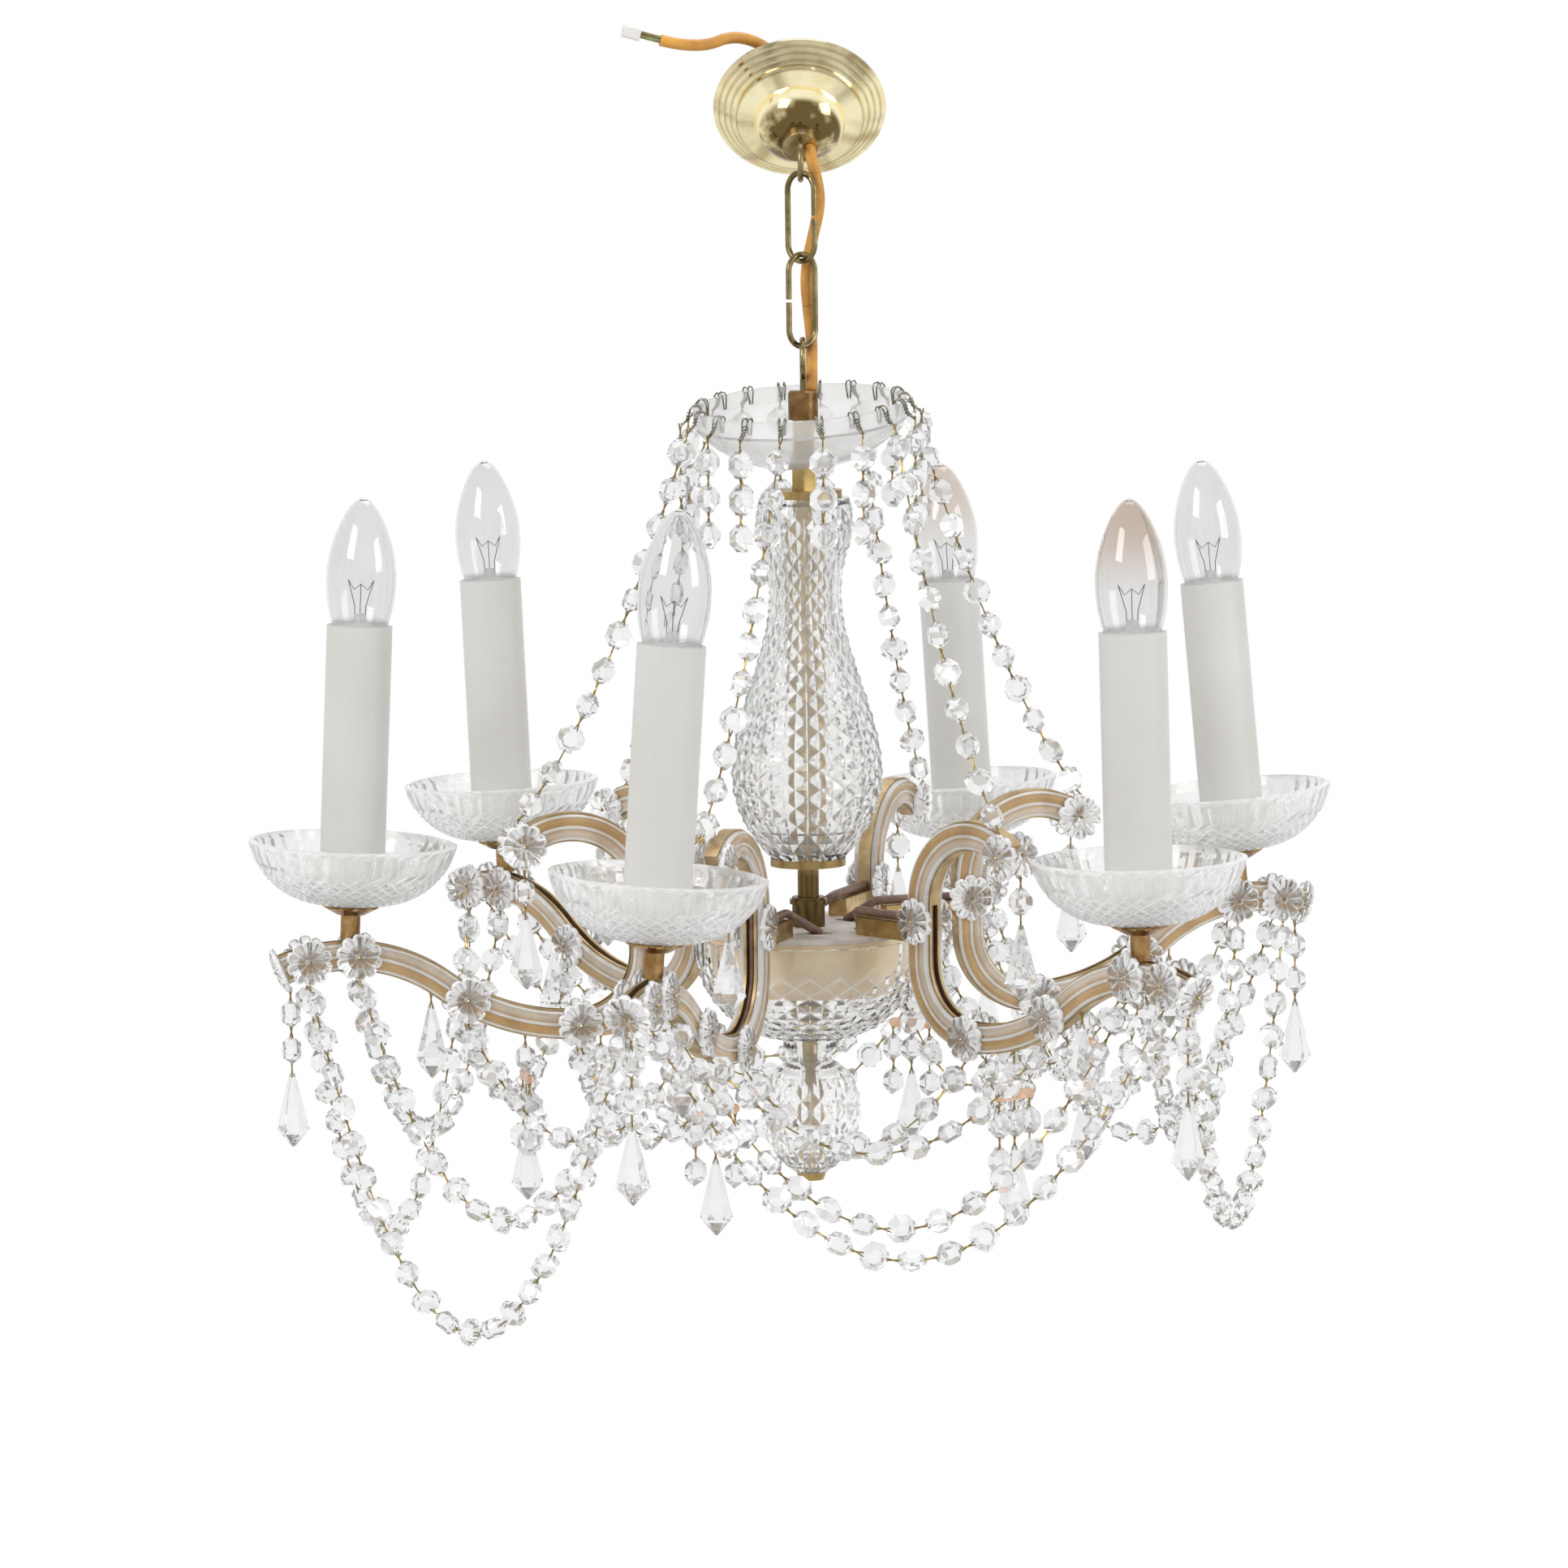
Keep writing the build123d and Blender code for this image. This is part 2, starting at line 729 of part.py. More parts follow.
# Wire tails over the brackets into the hub plate's holes
tail_level = plate_top + bracket_height + tail_wire / 2 + string_gap
for azimuth, hole_turn in zip(arm_azimuths, hole_turns):
    outward = Vector(1, 0, 0).rotate(Axis.Z, azimuth)
    hole = Vector(wire_hole_circle, 0, plate_top).rotate(Axis.Z, hole_turn)
    with BuildPart() as tail:
        with BuildLine() as tail_line:
            FilletPolyline(
                outward * bracket_end + Vector(0, 0, tail_level),
                outward * (bracket_start - tail_wire) + Vector(0, 0, tail_level),
                hole,
                radius=tail_radius,
            )
        with BuildSketch(Plane(origin=tail_line.line @ 0, z_dir=tail_line.line % 0)):
            Circle(tail_wire / 2)
        sweep(path=tail_line.line)
    wires.append(tail.part)
keep_group(wires, "arm_wires")

# Rosettes pinned over the strips, on both sides of each arm and across its end
scroll_end = (
    scroll_radius + scroll_radius * cos(radians(scroll_open)),
    riser_top + scroll_radius * sin(radians(scroll_open)),
)
arm_tip = crest_x + crest_radius * sin(radians(crest_past))
rosette_corner = rosette_radius / cos(radians(180 / petal_count))
end_x = arm_tip - rosette_corner - tip_gap
inner_x = end_x - 2 * rosette_corner - tip_gap
rosette_places = [
    scroll_end,
    (0, riser_top - rosette_radius * 0.7),
    arm_point(foot_radius),
    arm_point(mid_x),
    arm_point(inner_x),
    arm_point(end_x),
]
with BuildPart() as rosette:
    with BuildSketch():
        RegularPolygon(rosette_radius, petal_count, major_radius=False)
    extrude(amount=rosette_thickness, taper=rosette_taper)
strip_face = arm_width / 2 + strip_thickness
rosettes = []
for plane in arm_planes:
    for x, y in rosette_places:
        rosettes.append(plane * Pos(x, y, strip_face) * rosette.part)
        rosettes.append(plane * Pos(x, y, -strip_face) * Rot(180, 0, 0) * rosette.part)
    tip_y = arm_point(arm_tip)[1]
    arm_end = plane * Pos(arm_tip, tip_y, 0) * Rot(0, 0, -crest_past)
    rosettes.append(arm_end * Pos(tip_gap, 0, 0) * Rot(0, 90, 0) * rosette.part)
keep_group(rosettes, "rosettes")


# Candles, each on its own leaning axis at the crest of its arm
def candle_plane(index):
    """The plane at the foot of one candle, its normal along the candle."""
    top = crest_level + sqrt((crest_radius + arm_height / 2) ** 2 - candle_back**2)
    origin = arm_planes[index].from_local_coords((candle_reach, top + nipple_lift, 0))
    azimuth = radians(arm_azimuths[index])
    lean = Vector(tan(radians(candle_leans[index])), 0, 1)
    return Plane(origin, x_dir=(cos(azimuth), sin(azimuth), 0), z_dir=lean)


gallery_level = nipple_length
pan_level = gallery_level + gallery_height + gallery_wall
sleeve_level = pan_level + pan_wall + string_gap
sleeve_top = sleeve_level + sleeve_length
holder_bottom = sleeve_top - bulb_shoulder - holder_rim - holder_length
bulb_bottom = sleeve_top - bulb_sunk
holder_bore = bulb_neck + bulb_play
nipples = []
galleries = []
sleeves = []
holders = []
for number in range(1, len(arm_azimuths) + 1):
    plane = candle_plane(number - 1)
    axis = Axis(plane.origin, plane.z_dir)
    with BuildPart() as nipple:
        with BuildSketch(plane):
            Circle(nipple_diameter / 2)
            Circle(nipple_diameter / 2 - nipple_wall, mode=Mode.SUBTRACT)
        extrude(amount=holder_bottom)
    nipples.append(nipple.part)
    with BuildPart() as gallery:
        with BuildSketch(upright(plane)):
            with BuildLine():
                Polyline(
                    (nipple_diameter / 2 + stem_fit, gallery_level),
                    (nipple_diameter / 2 + gallery_wall * 2, gallery_level),
                    (gallery_radius, gallery_level + gallery_height),
                )
            trace(line_width=gallery_wall)
        revolve(axis=axis)
        with BuildSketch(plane.offset(gallery_level + gallery_height / 2)):
            with PolarLocations(gallery_radius + gallery_wall, gallery_scallops):
                Circle(gallery_wall * 2)
        extrude(amount=gallery_height, mode=Mode.SUBTRACT)
    galleries.append(gallery.part)
    with BuildPart() as pan:
        with BuildSketch(upright(plane)):
            with BuildLine():
                floor_level = pan_level + pan_wall / 2
                lip = pan_radius - pan_wall / 2
                Line((nipple_diameter / 2 + stem_fit, floor_level), (pan_foot, floor_level))
                ThreePointArc(
                    (pan_foot, floor_level),
                    ((pan_foot + lip) / 2 + pan_depth / 4.5, pan_level + pan_depth * 0.36),
                    (lip, pan_level + pan_depth),
                )
            trace(line_width=pan_wall)
        revolve(axis=axis)
    keep(pan.part, f"pan_{number}")
    with BuildPart() as sleeve:
        with BuildSketch(plane.offset(sleeve_level)):
            Circle(sleeve_diameter / 2)
            Circle(sleeve_diameter / 2 - sleeve_wall, mode=Mode.SUBTRACT)
        extrude(amount=sleeve_length)
    sleeves.append(sleeve.part)
    with BuildPart() as holder:
        with BuildSketch(plane.offset(holder_bottom)):
            Circle(holder_diameter / 2)
        extrude(amount=holder_length)
        with BuildSketch(plane.offset(bulb_bottom - bulb_play)):
            Circle(holder_bore)
        extrude(amount=bulb_sunk, mode=Mode.SUBTRACT)
    holders.append(holder.part)
    with BuildPart() as bulb:
        with BuildSketch(upright(plane.offset(sleeve_top))):
            with BuildLine():
                outside = [
                    (bulb_neck, -bulb_shoulder),
                    (bulb_mouth, 0),
                    (bulb_radius, bulb_widest),
                    (bulb_radius * 0.66, (bulb_widest + bulb_height) * 0.55),
                    (0, bulb_height),
                ]
                inside = [
                    (0, bulb_height - bulb_glass * 2),
                    (bulb_radius * 0.66 - bulb_glass, (bulb_widest + bulb_height) * 0.55),
                    (bulb_radius - bulb_glass, bulb_widest),
                    (bulb_mouth - bulb_glass, 0),
                    (bulb_neck - bulb_glass, -bulb_shoulder),
                ]
                Line((bulb_neck, -bulb_sunk), outside[0])
                Spline(*outside, tangents=[(0.3, 1), (-1, -0.12)])
                Line(outside[-1], inside[0])
                Spline(*inside, tangents=[(1, 0.12), (-0.3, -1)])
                Polyline(
                    inside[-1],
                    (bulb_neck - bulb_glass, -bulb_sunk),
                    (bulb_neck, -bulb_sunk),
                )
            make_face()
        revolve(axis=axis)
    keep(bulb.part, f"bulb_{number}")
keep_group(nipples, "nipples")
keep_group(galleries, "gallery_cups")
keep_group(sleeves, "candle_sleeves")
keep_group(holders, "lampholders")

# One bead and one spear drop, repeated along the strings
with BuildPart() as bead:
    with BuildSketch():
        RegularPolygon(bead_flats / 2, 8, major_radius=False, rotation=22.5)
    extrude(amount=bead_thickness / 2, taper=bead_taper, both=True)

spear_girth = spear_width / 2
spear_shank = spear_length - spear_tip
with BuildPart() as spear:
    with BuildSketch(Plane.XY.offset(-spear_shank)):
        RegularPolygon(spear_girth, 6, major_radius=False)
    extrude(amount=spear_shank, taper=degrees(atan((spear_girth - spear_neck) / spear_shank)))
    with BuildSketch(Plane.XY.offset(-spear_shank)):
        RegularPolygon(spear_girth, 6, major_radius=False)
    extrude(amount=-spear_tip, taper=degrees(atan((spear_girth - spear_end) / spear_tip)))

with BuildPart() as spacer:
    with BuildSketch(Plane.XZ):
        SlotOverall(bar_length, bar_height)
    extrude(amount=bar_thickness / 2, both=True)

upper_beads = []
outer_beads = []
inner_beads = []
string_links = []
spears = []
spacers = []
bead_reach = bead_flats / 2 + string_gap


def add_link(start, end):
    """A wire between two points of a string."""
    run = end - start
    plane = Plane(origin=start, z_dir=run)
    with BuildPart() as link:
        with BuildSketch(plane):
            Circle(link_diameter / 2)
        extrude(amount=run.length)
    string_links.append(link.part)


def add_bead(group, middle, along, facing, twist):
    """A bead on a string, its flats across the string and turned about it."""
    across = facing.cross(along).normalized()
    face = facing * cos(radians(twist)) + across * sin(radians(twist))
    group.append(Plane(origin=middle, x_dir=along, z_dir=face) * bead.part)


def swag(group, start, end, sag):
    """A string that hangs between two points."""
    low = (start + end) / 2 - Vector(0, 0, 2 * sag)
    route = Bezier(start, low, end)
    facing = (end - start).cross(Vector(0, 0, 1)).normalized()
    count = int(route.length / bead_pitch)
    last = start
    for index in range(count):
        share = (index + 0.5) / count
        middle = route @ share
        along = route % share
        add_bead(group, middle, along, facing, index * bead_twist)
        add_link(last, middle - along * bead_reach)
        last = middle + along * bead_reach
    add_link(last, end)


def pendant(group, start, count, facing):
    """A plumb string of beads; returns where it ends."""
    down = Vector(0, 0, -1)
    last = start
    for index in range(count):
        middle = start + down * (bead_pitch * (index + 0.6))
        add_bead(group, middle, down, facing, 0)
        add_link(last, middle - down * bead_reach)
        last = middle + down * bead_reach
    return last


def hang_spear(start):
    """A spear drop on a short link."""
    end = start - Vector(0, 0, bead_pitch - bead_flats)
    add_link(start, end)
    spears.append(Pos(*(end - Vector(0, 0, string_gap))) * spear.part)


rosette_side = strip_face + link_diameter / 2 + tip_gap
rosette_low = rosette_radius + string_gap
hook_gap = string_gap + link_diameter / 2
for index, plane in enumerate(arm_planes):
    following = (index + 1) % len(arm_planes)
    outward = Vector(plane.x_dir.X, plane.x_dir.Y, 0).normalized()

    def hook(x, y, side, arm=plane, drop=rosette_low):
        """A point under a rosette on one side of an arm."""
        return arm.from_local_coords((x, y, side * rosette_side)) - Vector(0, 0, drop)

    # Swags from this arm to the following one
    for group, x, sag in (
        (outer_beads, end_x, outer_sags[index]),
        (outer_beads, inner_x, middle_sags[index]),
        (inner_beads, mid_x, inner_sag),
        (inner_beads, foot_radius, foot_sag),
    ):
        y = arm_point(x)[1]
        swag(group, hook(x, y, -1), hook(x, y, 1, arm_planes[following]), sag)

    # Upper swag from the crown to the scroll
    clip_turn = min(clip_turns, key=lambda turn: abs((turn - arm_azimuths[index] + 180) % 360 - 180))
    clip_end = crown_plane * Rot(0, 0, clip_turn) * Pos(hook_radius, 0, clip_top - clip_reach)
    start = Vector(clip_end.position) - Vector(0, 0, clip_wire)
    end = hook(*scroll_end, 1, drop=-rosette_low)
    swag(upper_beads, start, end, upper_sag)

    # Drops from the scroll, from under the arm and from its end
    scroll_hook = pendant(inner_beads, hook(*scroll_end, -1), 1, outward)
    hang_spear(scroll_hook)
    arm_end = plane * Pos(arm_tip, tip_y, 0) * Rot(0, 0, -crest_past)
    tip_hook = arm_end * Pos(tip_gap + link_diameter / 2, -rosette_radius, 0)
    tip_start = Vector(tip_hook.position) - Vector(0, 0, string_gap)
    hang_spear(pendant(outer_beads, tip_start, 2, outward))
    mid_hook = plane.from_local_coords((*arm_point(mid_drop_x, arm_height / 2), 0))
    hang_spear(mid_hook - Vector(0, 0, hook_gap))

    # Spacer bar under the arm with three strands
    bar_hook = plane.from_local_coords((*arm_point(bar_x, arm_height / 2), 0))
    bar_top = pendant(inner_beads, bar_hook - Vector(0, 0, hook_gap), 1, outward) - Vector(0, 0, string_gap)
    bar_middle = bar_top - Vector(0, 0, bar_height / 2)
    bar_along = Vector(plane.z_dir)
    spacers.append(Plane(bar_middle, x_dir=bar_along, z_dir=(0, 0, 1)) * spacer.part)
    bar_low = bar_middle - Vector(0, 0, bar_height / 2 + string_gap)
    hang_spear(pendant(inner_beads, bar_low, 1, bar_along))
    for side in (1, -1):
        pendant(inner_beads, bar_low + bar_along * side * strand_pitch, 2, bar_along)

# Short pendants on the crown's other clips
used_turns = [
    min(clip_turns, key=lambda turn: abs((turn - azimuth + 180) % 360 - 180)) for azimuth in arm_azimuths
]
for turn in clip_turns:
    if turn not in used_turns:
        clip_end = crown_plane * Rot(0, 0, turn) * Pos(hook_radius, 0, clip_top - clip_reach)
        outward = Vector(cos(radians(turn)), sin(radians(turn)), 0)
        start = Vector(clip_end.position) - Vector(0, 0, clip_wire)
        pendant(upper_beads, start, crown_beads, outward)

keep_group(upper_beads, "upper_beads")
keep_group(outer_beads, "outer_beads")
keep_group(inner_beads, "inner_beads")
keep_group(string_links, "string_links")
keep_group(spears, "spear_drops")
keep_group(spacers, "spacer_bars")
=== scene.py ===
"""Looks of a six-arm glass chandelier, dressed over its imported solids, in metres."""

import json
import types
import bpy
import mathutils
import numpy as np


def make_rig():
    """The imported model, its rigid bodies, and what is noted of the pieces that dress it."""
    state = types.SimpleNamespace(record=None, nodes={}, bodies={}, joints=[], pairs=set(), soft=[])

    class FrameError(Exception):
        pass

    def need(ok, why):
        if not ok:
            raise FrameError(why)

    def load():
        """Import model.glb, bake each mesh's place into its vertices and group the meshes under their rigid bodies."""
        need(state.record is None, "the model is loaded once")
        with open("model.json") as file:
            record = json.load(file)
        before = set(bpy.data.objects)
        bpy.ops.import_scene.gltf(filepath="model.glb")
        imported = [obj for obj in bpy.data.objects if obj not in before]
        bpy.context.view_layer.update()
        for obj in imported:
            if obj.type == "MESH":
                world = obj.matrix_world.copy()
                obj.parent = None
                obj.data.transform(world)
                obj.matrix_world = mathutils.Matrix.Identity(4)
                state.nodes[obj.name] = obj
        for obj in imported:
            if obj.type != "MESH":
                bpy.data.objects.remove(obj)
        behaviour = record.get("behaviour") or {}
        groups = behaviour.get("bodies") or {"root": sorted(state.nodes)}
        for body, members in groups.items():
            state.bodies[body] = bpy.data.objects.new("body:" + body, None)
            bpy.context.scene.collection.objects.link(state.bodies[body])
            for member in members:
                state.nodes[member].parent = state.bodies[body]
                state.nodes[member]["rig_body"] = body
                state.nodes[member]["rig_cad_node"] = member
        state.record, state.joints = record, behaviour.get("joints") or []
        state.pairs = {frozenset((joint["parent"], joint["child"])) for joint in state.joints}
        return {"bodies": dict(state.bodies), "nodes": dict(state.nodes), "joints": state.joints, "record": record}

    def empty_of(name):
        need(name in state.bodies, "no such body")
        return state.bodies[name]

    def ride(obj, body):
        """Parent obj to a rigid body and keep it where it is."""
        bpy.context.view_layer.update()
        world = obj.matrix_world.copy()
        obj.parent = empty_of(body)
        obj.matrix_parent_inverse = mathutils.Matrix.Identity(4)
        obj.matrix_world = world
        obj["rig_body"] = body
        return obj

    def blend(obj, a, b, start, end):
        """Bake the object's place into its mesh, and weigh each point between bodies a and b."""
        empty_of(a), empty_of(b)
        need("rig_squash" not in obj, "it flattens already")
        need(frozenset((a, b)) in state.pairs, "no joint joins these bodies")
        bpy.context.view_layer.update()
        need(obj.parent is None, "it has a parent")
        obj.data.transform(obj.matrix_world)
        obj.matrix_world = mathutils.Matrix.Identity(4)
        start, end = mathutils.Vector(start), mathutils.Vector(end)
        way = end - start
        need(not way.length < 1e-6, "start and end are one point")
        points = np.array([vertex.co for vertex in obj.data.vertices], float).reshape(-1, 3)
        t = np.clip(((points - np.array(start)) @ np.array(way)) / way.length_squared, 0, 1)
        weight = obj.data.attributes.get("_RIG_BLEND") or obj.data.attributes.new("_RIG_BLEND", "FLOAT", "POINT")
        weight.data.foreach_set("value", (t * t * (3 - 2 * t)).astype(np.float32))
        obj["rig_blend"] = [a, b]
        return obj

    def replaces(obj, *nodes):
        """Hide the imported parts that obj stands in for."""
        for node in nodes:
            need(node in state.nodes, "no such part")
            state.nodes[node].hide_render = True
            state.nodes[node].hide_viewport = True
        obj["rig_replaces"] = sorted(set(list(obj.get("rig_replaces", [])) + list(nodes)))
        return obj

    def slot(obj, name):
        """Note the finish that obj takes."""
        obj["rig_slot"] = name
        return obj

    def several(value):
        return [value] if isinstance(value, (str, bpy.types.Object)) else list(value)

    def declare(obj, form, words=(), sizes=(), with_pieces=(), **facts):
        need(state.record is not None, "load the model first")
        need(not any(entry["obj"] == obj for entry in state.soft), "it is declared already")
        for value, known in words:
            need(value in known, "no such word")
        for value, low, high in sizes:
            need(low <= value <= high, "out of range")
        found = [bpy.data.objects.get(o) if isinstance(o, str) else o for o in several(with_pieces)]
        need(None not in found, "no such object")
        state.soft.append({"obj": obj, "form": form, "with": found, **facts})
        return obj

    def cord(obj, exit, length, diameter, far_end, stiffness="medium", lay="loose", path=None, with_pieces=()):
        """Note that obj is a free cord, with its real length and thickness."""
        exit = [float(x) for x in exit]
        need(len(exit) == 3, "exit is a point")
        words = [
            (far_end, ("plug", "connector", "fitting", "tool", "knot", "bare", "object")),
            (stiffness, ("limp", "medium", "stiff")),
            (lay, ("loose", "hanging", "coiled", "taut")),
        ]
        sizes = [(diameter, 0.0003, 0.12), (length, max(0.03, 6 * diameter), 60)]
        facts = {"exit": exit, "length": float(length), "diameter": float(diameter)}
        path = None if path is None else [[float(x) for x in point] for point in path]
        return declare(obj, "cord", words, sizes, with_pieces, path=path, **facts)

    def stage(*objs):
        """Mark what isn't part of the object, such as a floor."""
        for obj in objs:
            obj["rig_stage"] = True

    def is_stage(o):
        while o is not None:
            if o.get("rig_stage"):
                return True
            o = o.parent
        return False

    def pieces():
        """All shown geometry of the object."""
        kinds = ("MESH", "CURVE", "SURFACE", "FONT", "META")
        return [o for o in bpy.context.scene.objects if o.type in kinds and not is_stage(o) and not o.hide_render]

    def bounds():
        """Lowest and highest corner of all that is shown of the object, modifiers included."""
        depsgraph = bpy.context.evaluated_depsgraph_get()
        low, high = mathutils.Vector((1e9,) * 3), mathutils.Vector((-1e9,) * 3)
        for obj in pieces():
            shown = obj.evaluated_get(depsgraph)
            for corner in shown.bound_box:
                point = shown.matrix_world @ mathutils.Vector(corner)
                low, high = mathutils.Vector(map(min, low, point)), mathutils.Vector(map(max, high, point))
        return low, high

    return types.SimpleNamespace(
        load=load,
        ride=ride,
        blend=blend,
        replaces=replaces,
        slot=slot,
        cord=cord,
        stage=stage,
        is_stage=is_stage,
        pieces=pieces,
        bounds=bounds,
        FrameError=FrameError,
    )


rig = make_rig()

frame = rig.load()

import json
import logging
import math
from collections.abc import Iterable, Sequence
from dataclasses import dataclass, field, replace
from enum import Enum
from functools import cache
from itertools import pairwise

import bmesh
import bpy
import numpy as np
from bmesh.types import BMesh, BMFace, BMVert
from bpy.types import Material, Mesh, Object
from mathutils import Matrix, Vector

CAD_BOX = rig.bounds()
MM = 0.001
MERGE = 1e-6
ROUNDING = 1e-9
FLUTE_PALE = 0.6
log = logging.getLogger("chandelier")

Color = tuple[float, float, float]
Point = tuple[float, float, float]
Row = tuple[float, float]


class Cut(Enum):
    """How one row of a turned glass piece is cut."""

    PLAIN = 0
    DIAMOND = 1
    FLUTE = 2
    RIM = 3


CutRow = tuple[Row, Cut]


class Value:
    """A shader socket whose arithmetic adds Math nodes."""

    def __init__(self, shader: "Shader", socket: bpy.types.NodeSocket | None) -> None:
        """Keep the tree and the socket."""
        self.shader = shader
        self.socket = socket

    def math(self, operation: str, first: "Value | float", second: "Value | float") -> "Value":
        """The result of one Math node on two values."""
        return self.shader.node("ShaderNodeMath", {"operation": operation}, {0: first, 1: second})

    def __add__(self, other: "Value | float") -> "Value":
        """Self plus other."""
        return self.math("ADD", self, other)

    def __radd__(self, other: float) -> "Value":
        """Other plus self."""
        return self.math("ADD", other, self)

    def __sub__(self, other: "Value | float") -> "Value":
        """Self less other."""
        return self.math("SUBTRACT", self, other)

    def __rsub__(self, other: float) -> "Value":
        """Other less self."""
        return self.math("SUBTRACT", other, self)

    def __mul__(self, other: "Value | float") -> "Value":
        """Self times other."""
        return self.math("MULTIPLY", self, other)

    def __rmul__(self, other: float) -> "Value":
        """Other times self."""
        return self.math("MULTIPLY", other, self)

    def __pow__(self, other: "Value | float") -> "Value":
        """Self to the power of other."""
        return self.math("POWER", self, other)

    def __rpow__(self, other: float) -> "Value":
        """Other to the power of self."""
        return self.math("POWER", other, self)

    def __abs__(self) -> "Value":
        """Self without its sign."""
        return self.math("ABSOLUTE", self, 0.0)

    def most(self, other: "Value") -> "Value":
        """The larger of self and other."""
        return self.math("MAXIMUM", self, other)


class Shader:
    """The node tree of a material or of the world, with a single method that adds nodes."""

    def __init__(self, owner: Material | bpy.types.World) -> None:
        """Empty the owner's tree.

        Args:
            owner: The material or the world.
        """
        owner.use_nodes = True
        self.owner = owner
        self.tree = owner.node_tree
        self.tree.nodes.clear()

    @classmethod
    def named(cls, name: str) -> "Shader":
        """Start a new material."""
        return cls(bpy.data.materials.new(name))

    def node(
        self,
        kind: str,
        settings: dict | None = None,
        inputs: dict | None = None,
        output: int | str = 0,
    ) -> Value:
        """Add a node of any kind.

        Args:
            kind: The node's type.
            settings: Its properties, and a ramp's stops.
            inputs: Values or links of its sockets.
            output: The socket that is returned.

        Returns:
            The wrapped output socket.
        """
        node = self.tree.nodes.new(kind)
        for key, value in (settings or {}).items():
            if key == "stops":
                ramp = node.color_ramp.elements
                while len(ramp) < len(value):
                    ramp.new(1.0)
                for element, (place, color) in zip(ramp, value):
                    element.position = place
                    element.color = (*color, 1.0)
            else:
                setattr(node, key, value)
        for key, value in (inputs or {}).items():
            if isinstance(value, Value):
                self.tree.links.new(value.socket, node.inputs[key])
            else:
                node.inputs[key].default_value = value
        return Value(self, node.outputs[output] if node.outputs else None)

    def place(self) -> Value:
        """The piece's own Object coordinates."""
        return self.node("ShaderNodeTexCoord", output="Object")

    def axis(self, spot: Value, number: int) -> Value:
        """One coordinate of a spot."""
        return self.node("ShaderNodeSeparateXYZ", {}, {0: spot}, output=number)

    def height(self) -> Value:
        """The height of a spot in the piece's own Object coordinates."""
        return self.axis(self.place(), 2)

    def reach(self, spot: Value) -> Value:
        """How far a spot lies from the origin."""
        return self.node("ShaderNodeVectorMath", {"operation": "LENGTH"}, {0: spot}, output="Value")

    def pale(self) -> Value:
        """The piece's own mark of its pale ridges and rims."""
        return self.node("ShaderNodeAttribute", {"attribute_name": "pale"}, output="Fac")

    def noise(self, scale: float, octaves: float, stretch: Point = (1.0, 1.0, 1.0)) -> Value:
        """A noise over Object coordinates.

        Args:
            scale: Noise scale per metre.
            octaves: Octaves of the noise.
            stretch: Scale of each axis before the noise.

        Returns:
            The noise's value.
        """
        spot = self.node("ShaderNodeMapping", {}, {"Vector": self.place(), "Scale": stretch})
        inputs = {"Vector": spot, "Scale": scale, "Detail": octaves}
        return self.node("ShaderNodeTexNoise", {}, inputs)

    def ramp(self, value: Value, *stops: tuple[float, Color]) -> Value:
        """The colour of a ramp with these places and colours, driven by a value."""
        return self.node("ShaderNodeValToRGB", {"stops": stops}, {"Fac": value})

    def mix(self, share: Value, first: Value | Color, second: Value | Color) -> Value:
        """Mix two colours.

        Args:
            share: How much of the second.
            first: Colour at none.
            second: Colour at all.

        Returns:
            The mixed colour.
        """
        ends = [end if isinstance(end, Value) else (*end, 1.0) for end in (first, second)]
        inputs = {0: share, 6: ends[0], 7: ends[1]}
        return self.node("ShaderNodeMix", {"data_type": "RGBA"}, inputs, output=2)

    def bump(self, height: Value, distance: float, strength: float) -> Value:
        """A normal bumped by a height, its distance in metres."""
        inputs = {"Height": height, "Distance": distance, "Strength": strength}
        return self.node("ShaderNodeBump", {}, inputs)

    def between(self, value: Value, low: float, high: float) -> Value:
        """How far a value has come from one bound to another, smoothly, from nought to one."""
        inputs = {"Value": value, "From Min": low, "From Max": high}
        return self.node("ShaderNodeMapRange", {"interpolation_type": "SMOOTHSTEP"}, inputs)

    def principled(self, inputs: dict[str, Value | float]) -> Value:
        """A surface of the common kind."""
        return self.node("ShaderNodeBsdfPrincipled", {}, inputs)

    def joined(self, share: Value, first: Value, second: Value) -> Value:
        """A mix of two surfaces, with a share of the second."""
        return self.node("ShaderNodeMixShader", {}, {0: share, 1: first, 2: second})

    def finish(self, surface: Value) -> Material:
        """Link a surface to the output and return the material."""
        self.node("ShaderNodeOutputMaterial", {}, {"Surface": surface})
        return self.owner


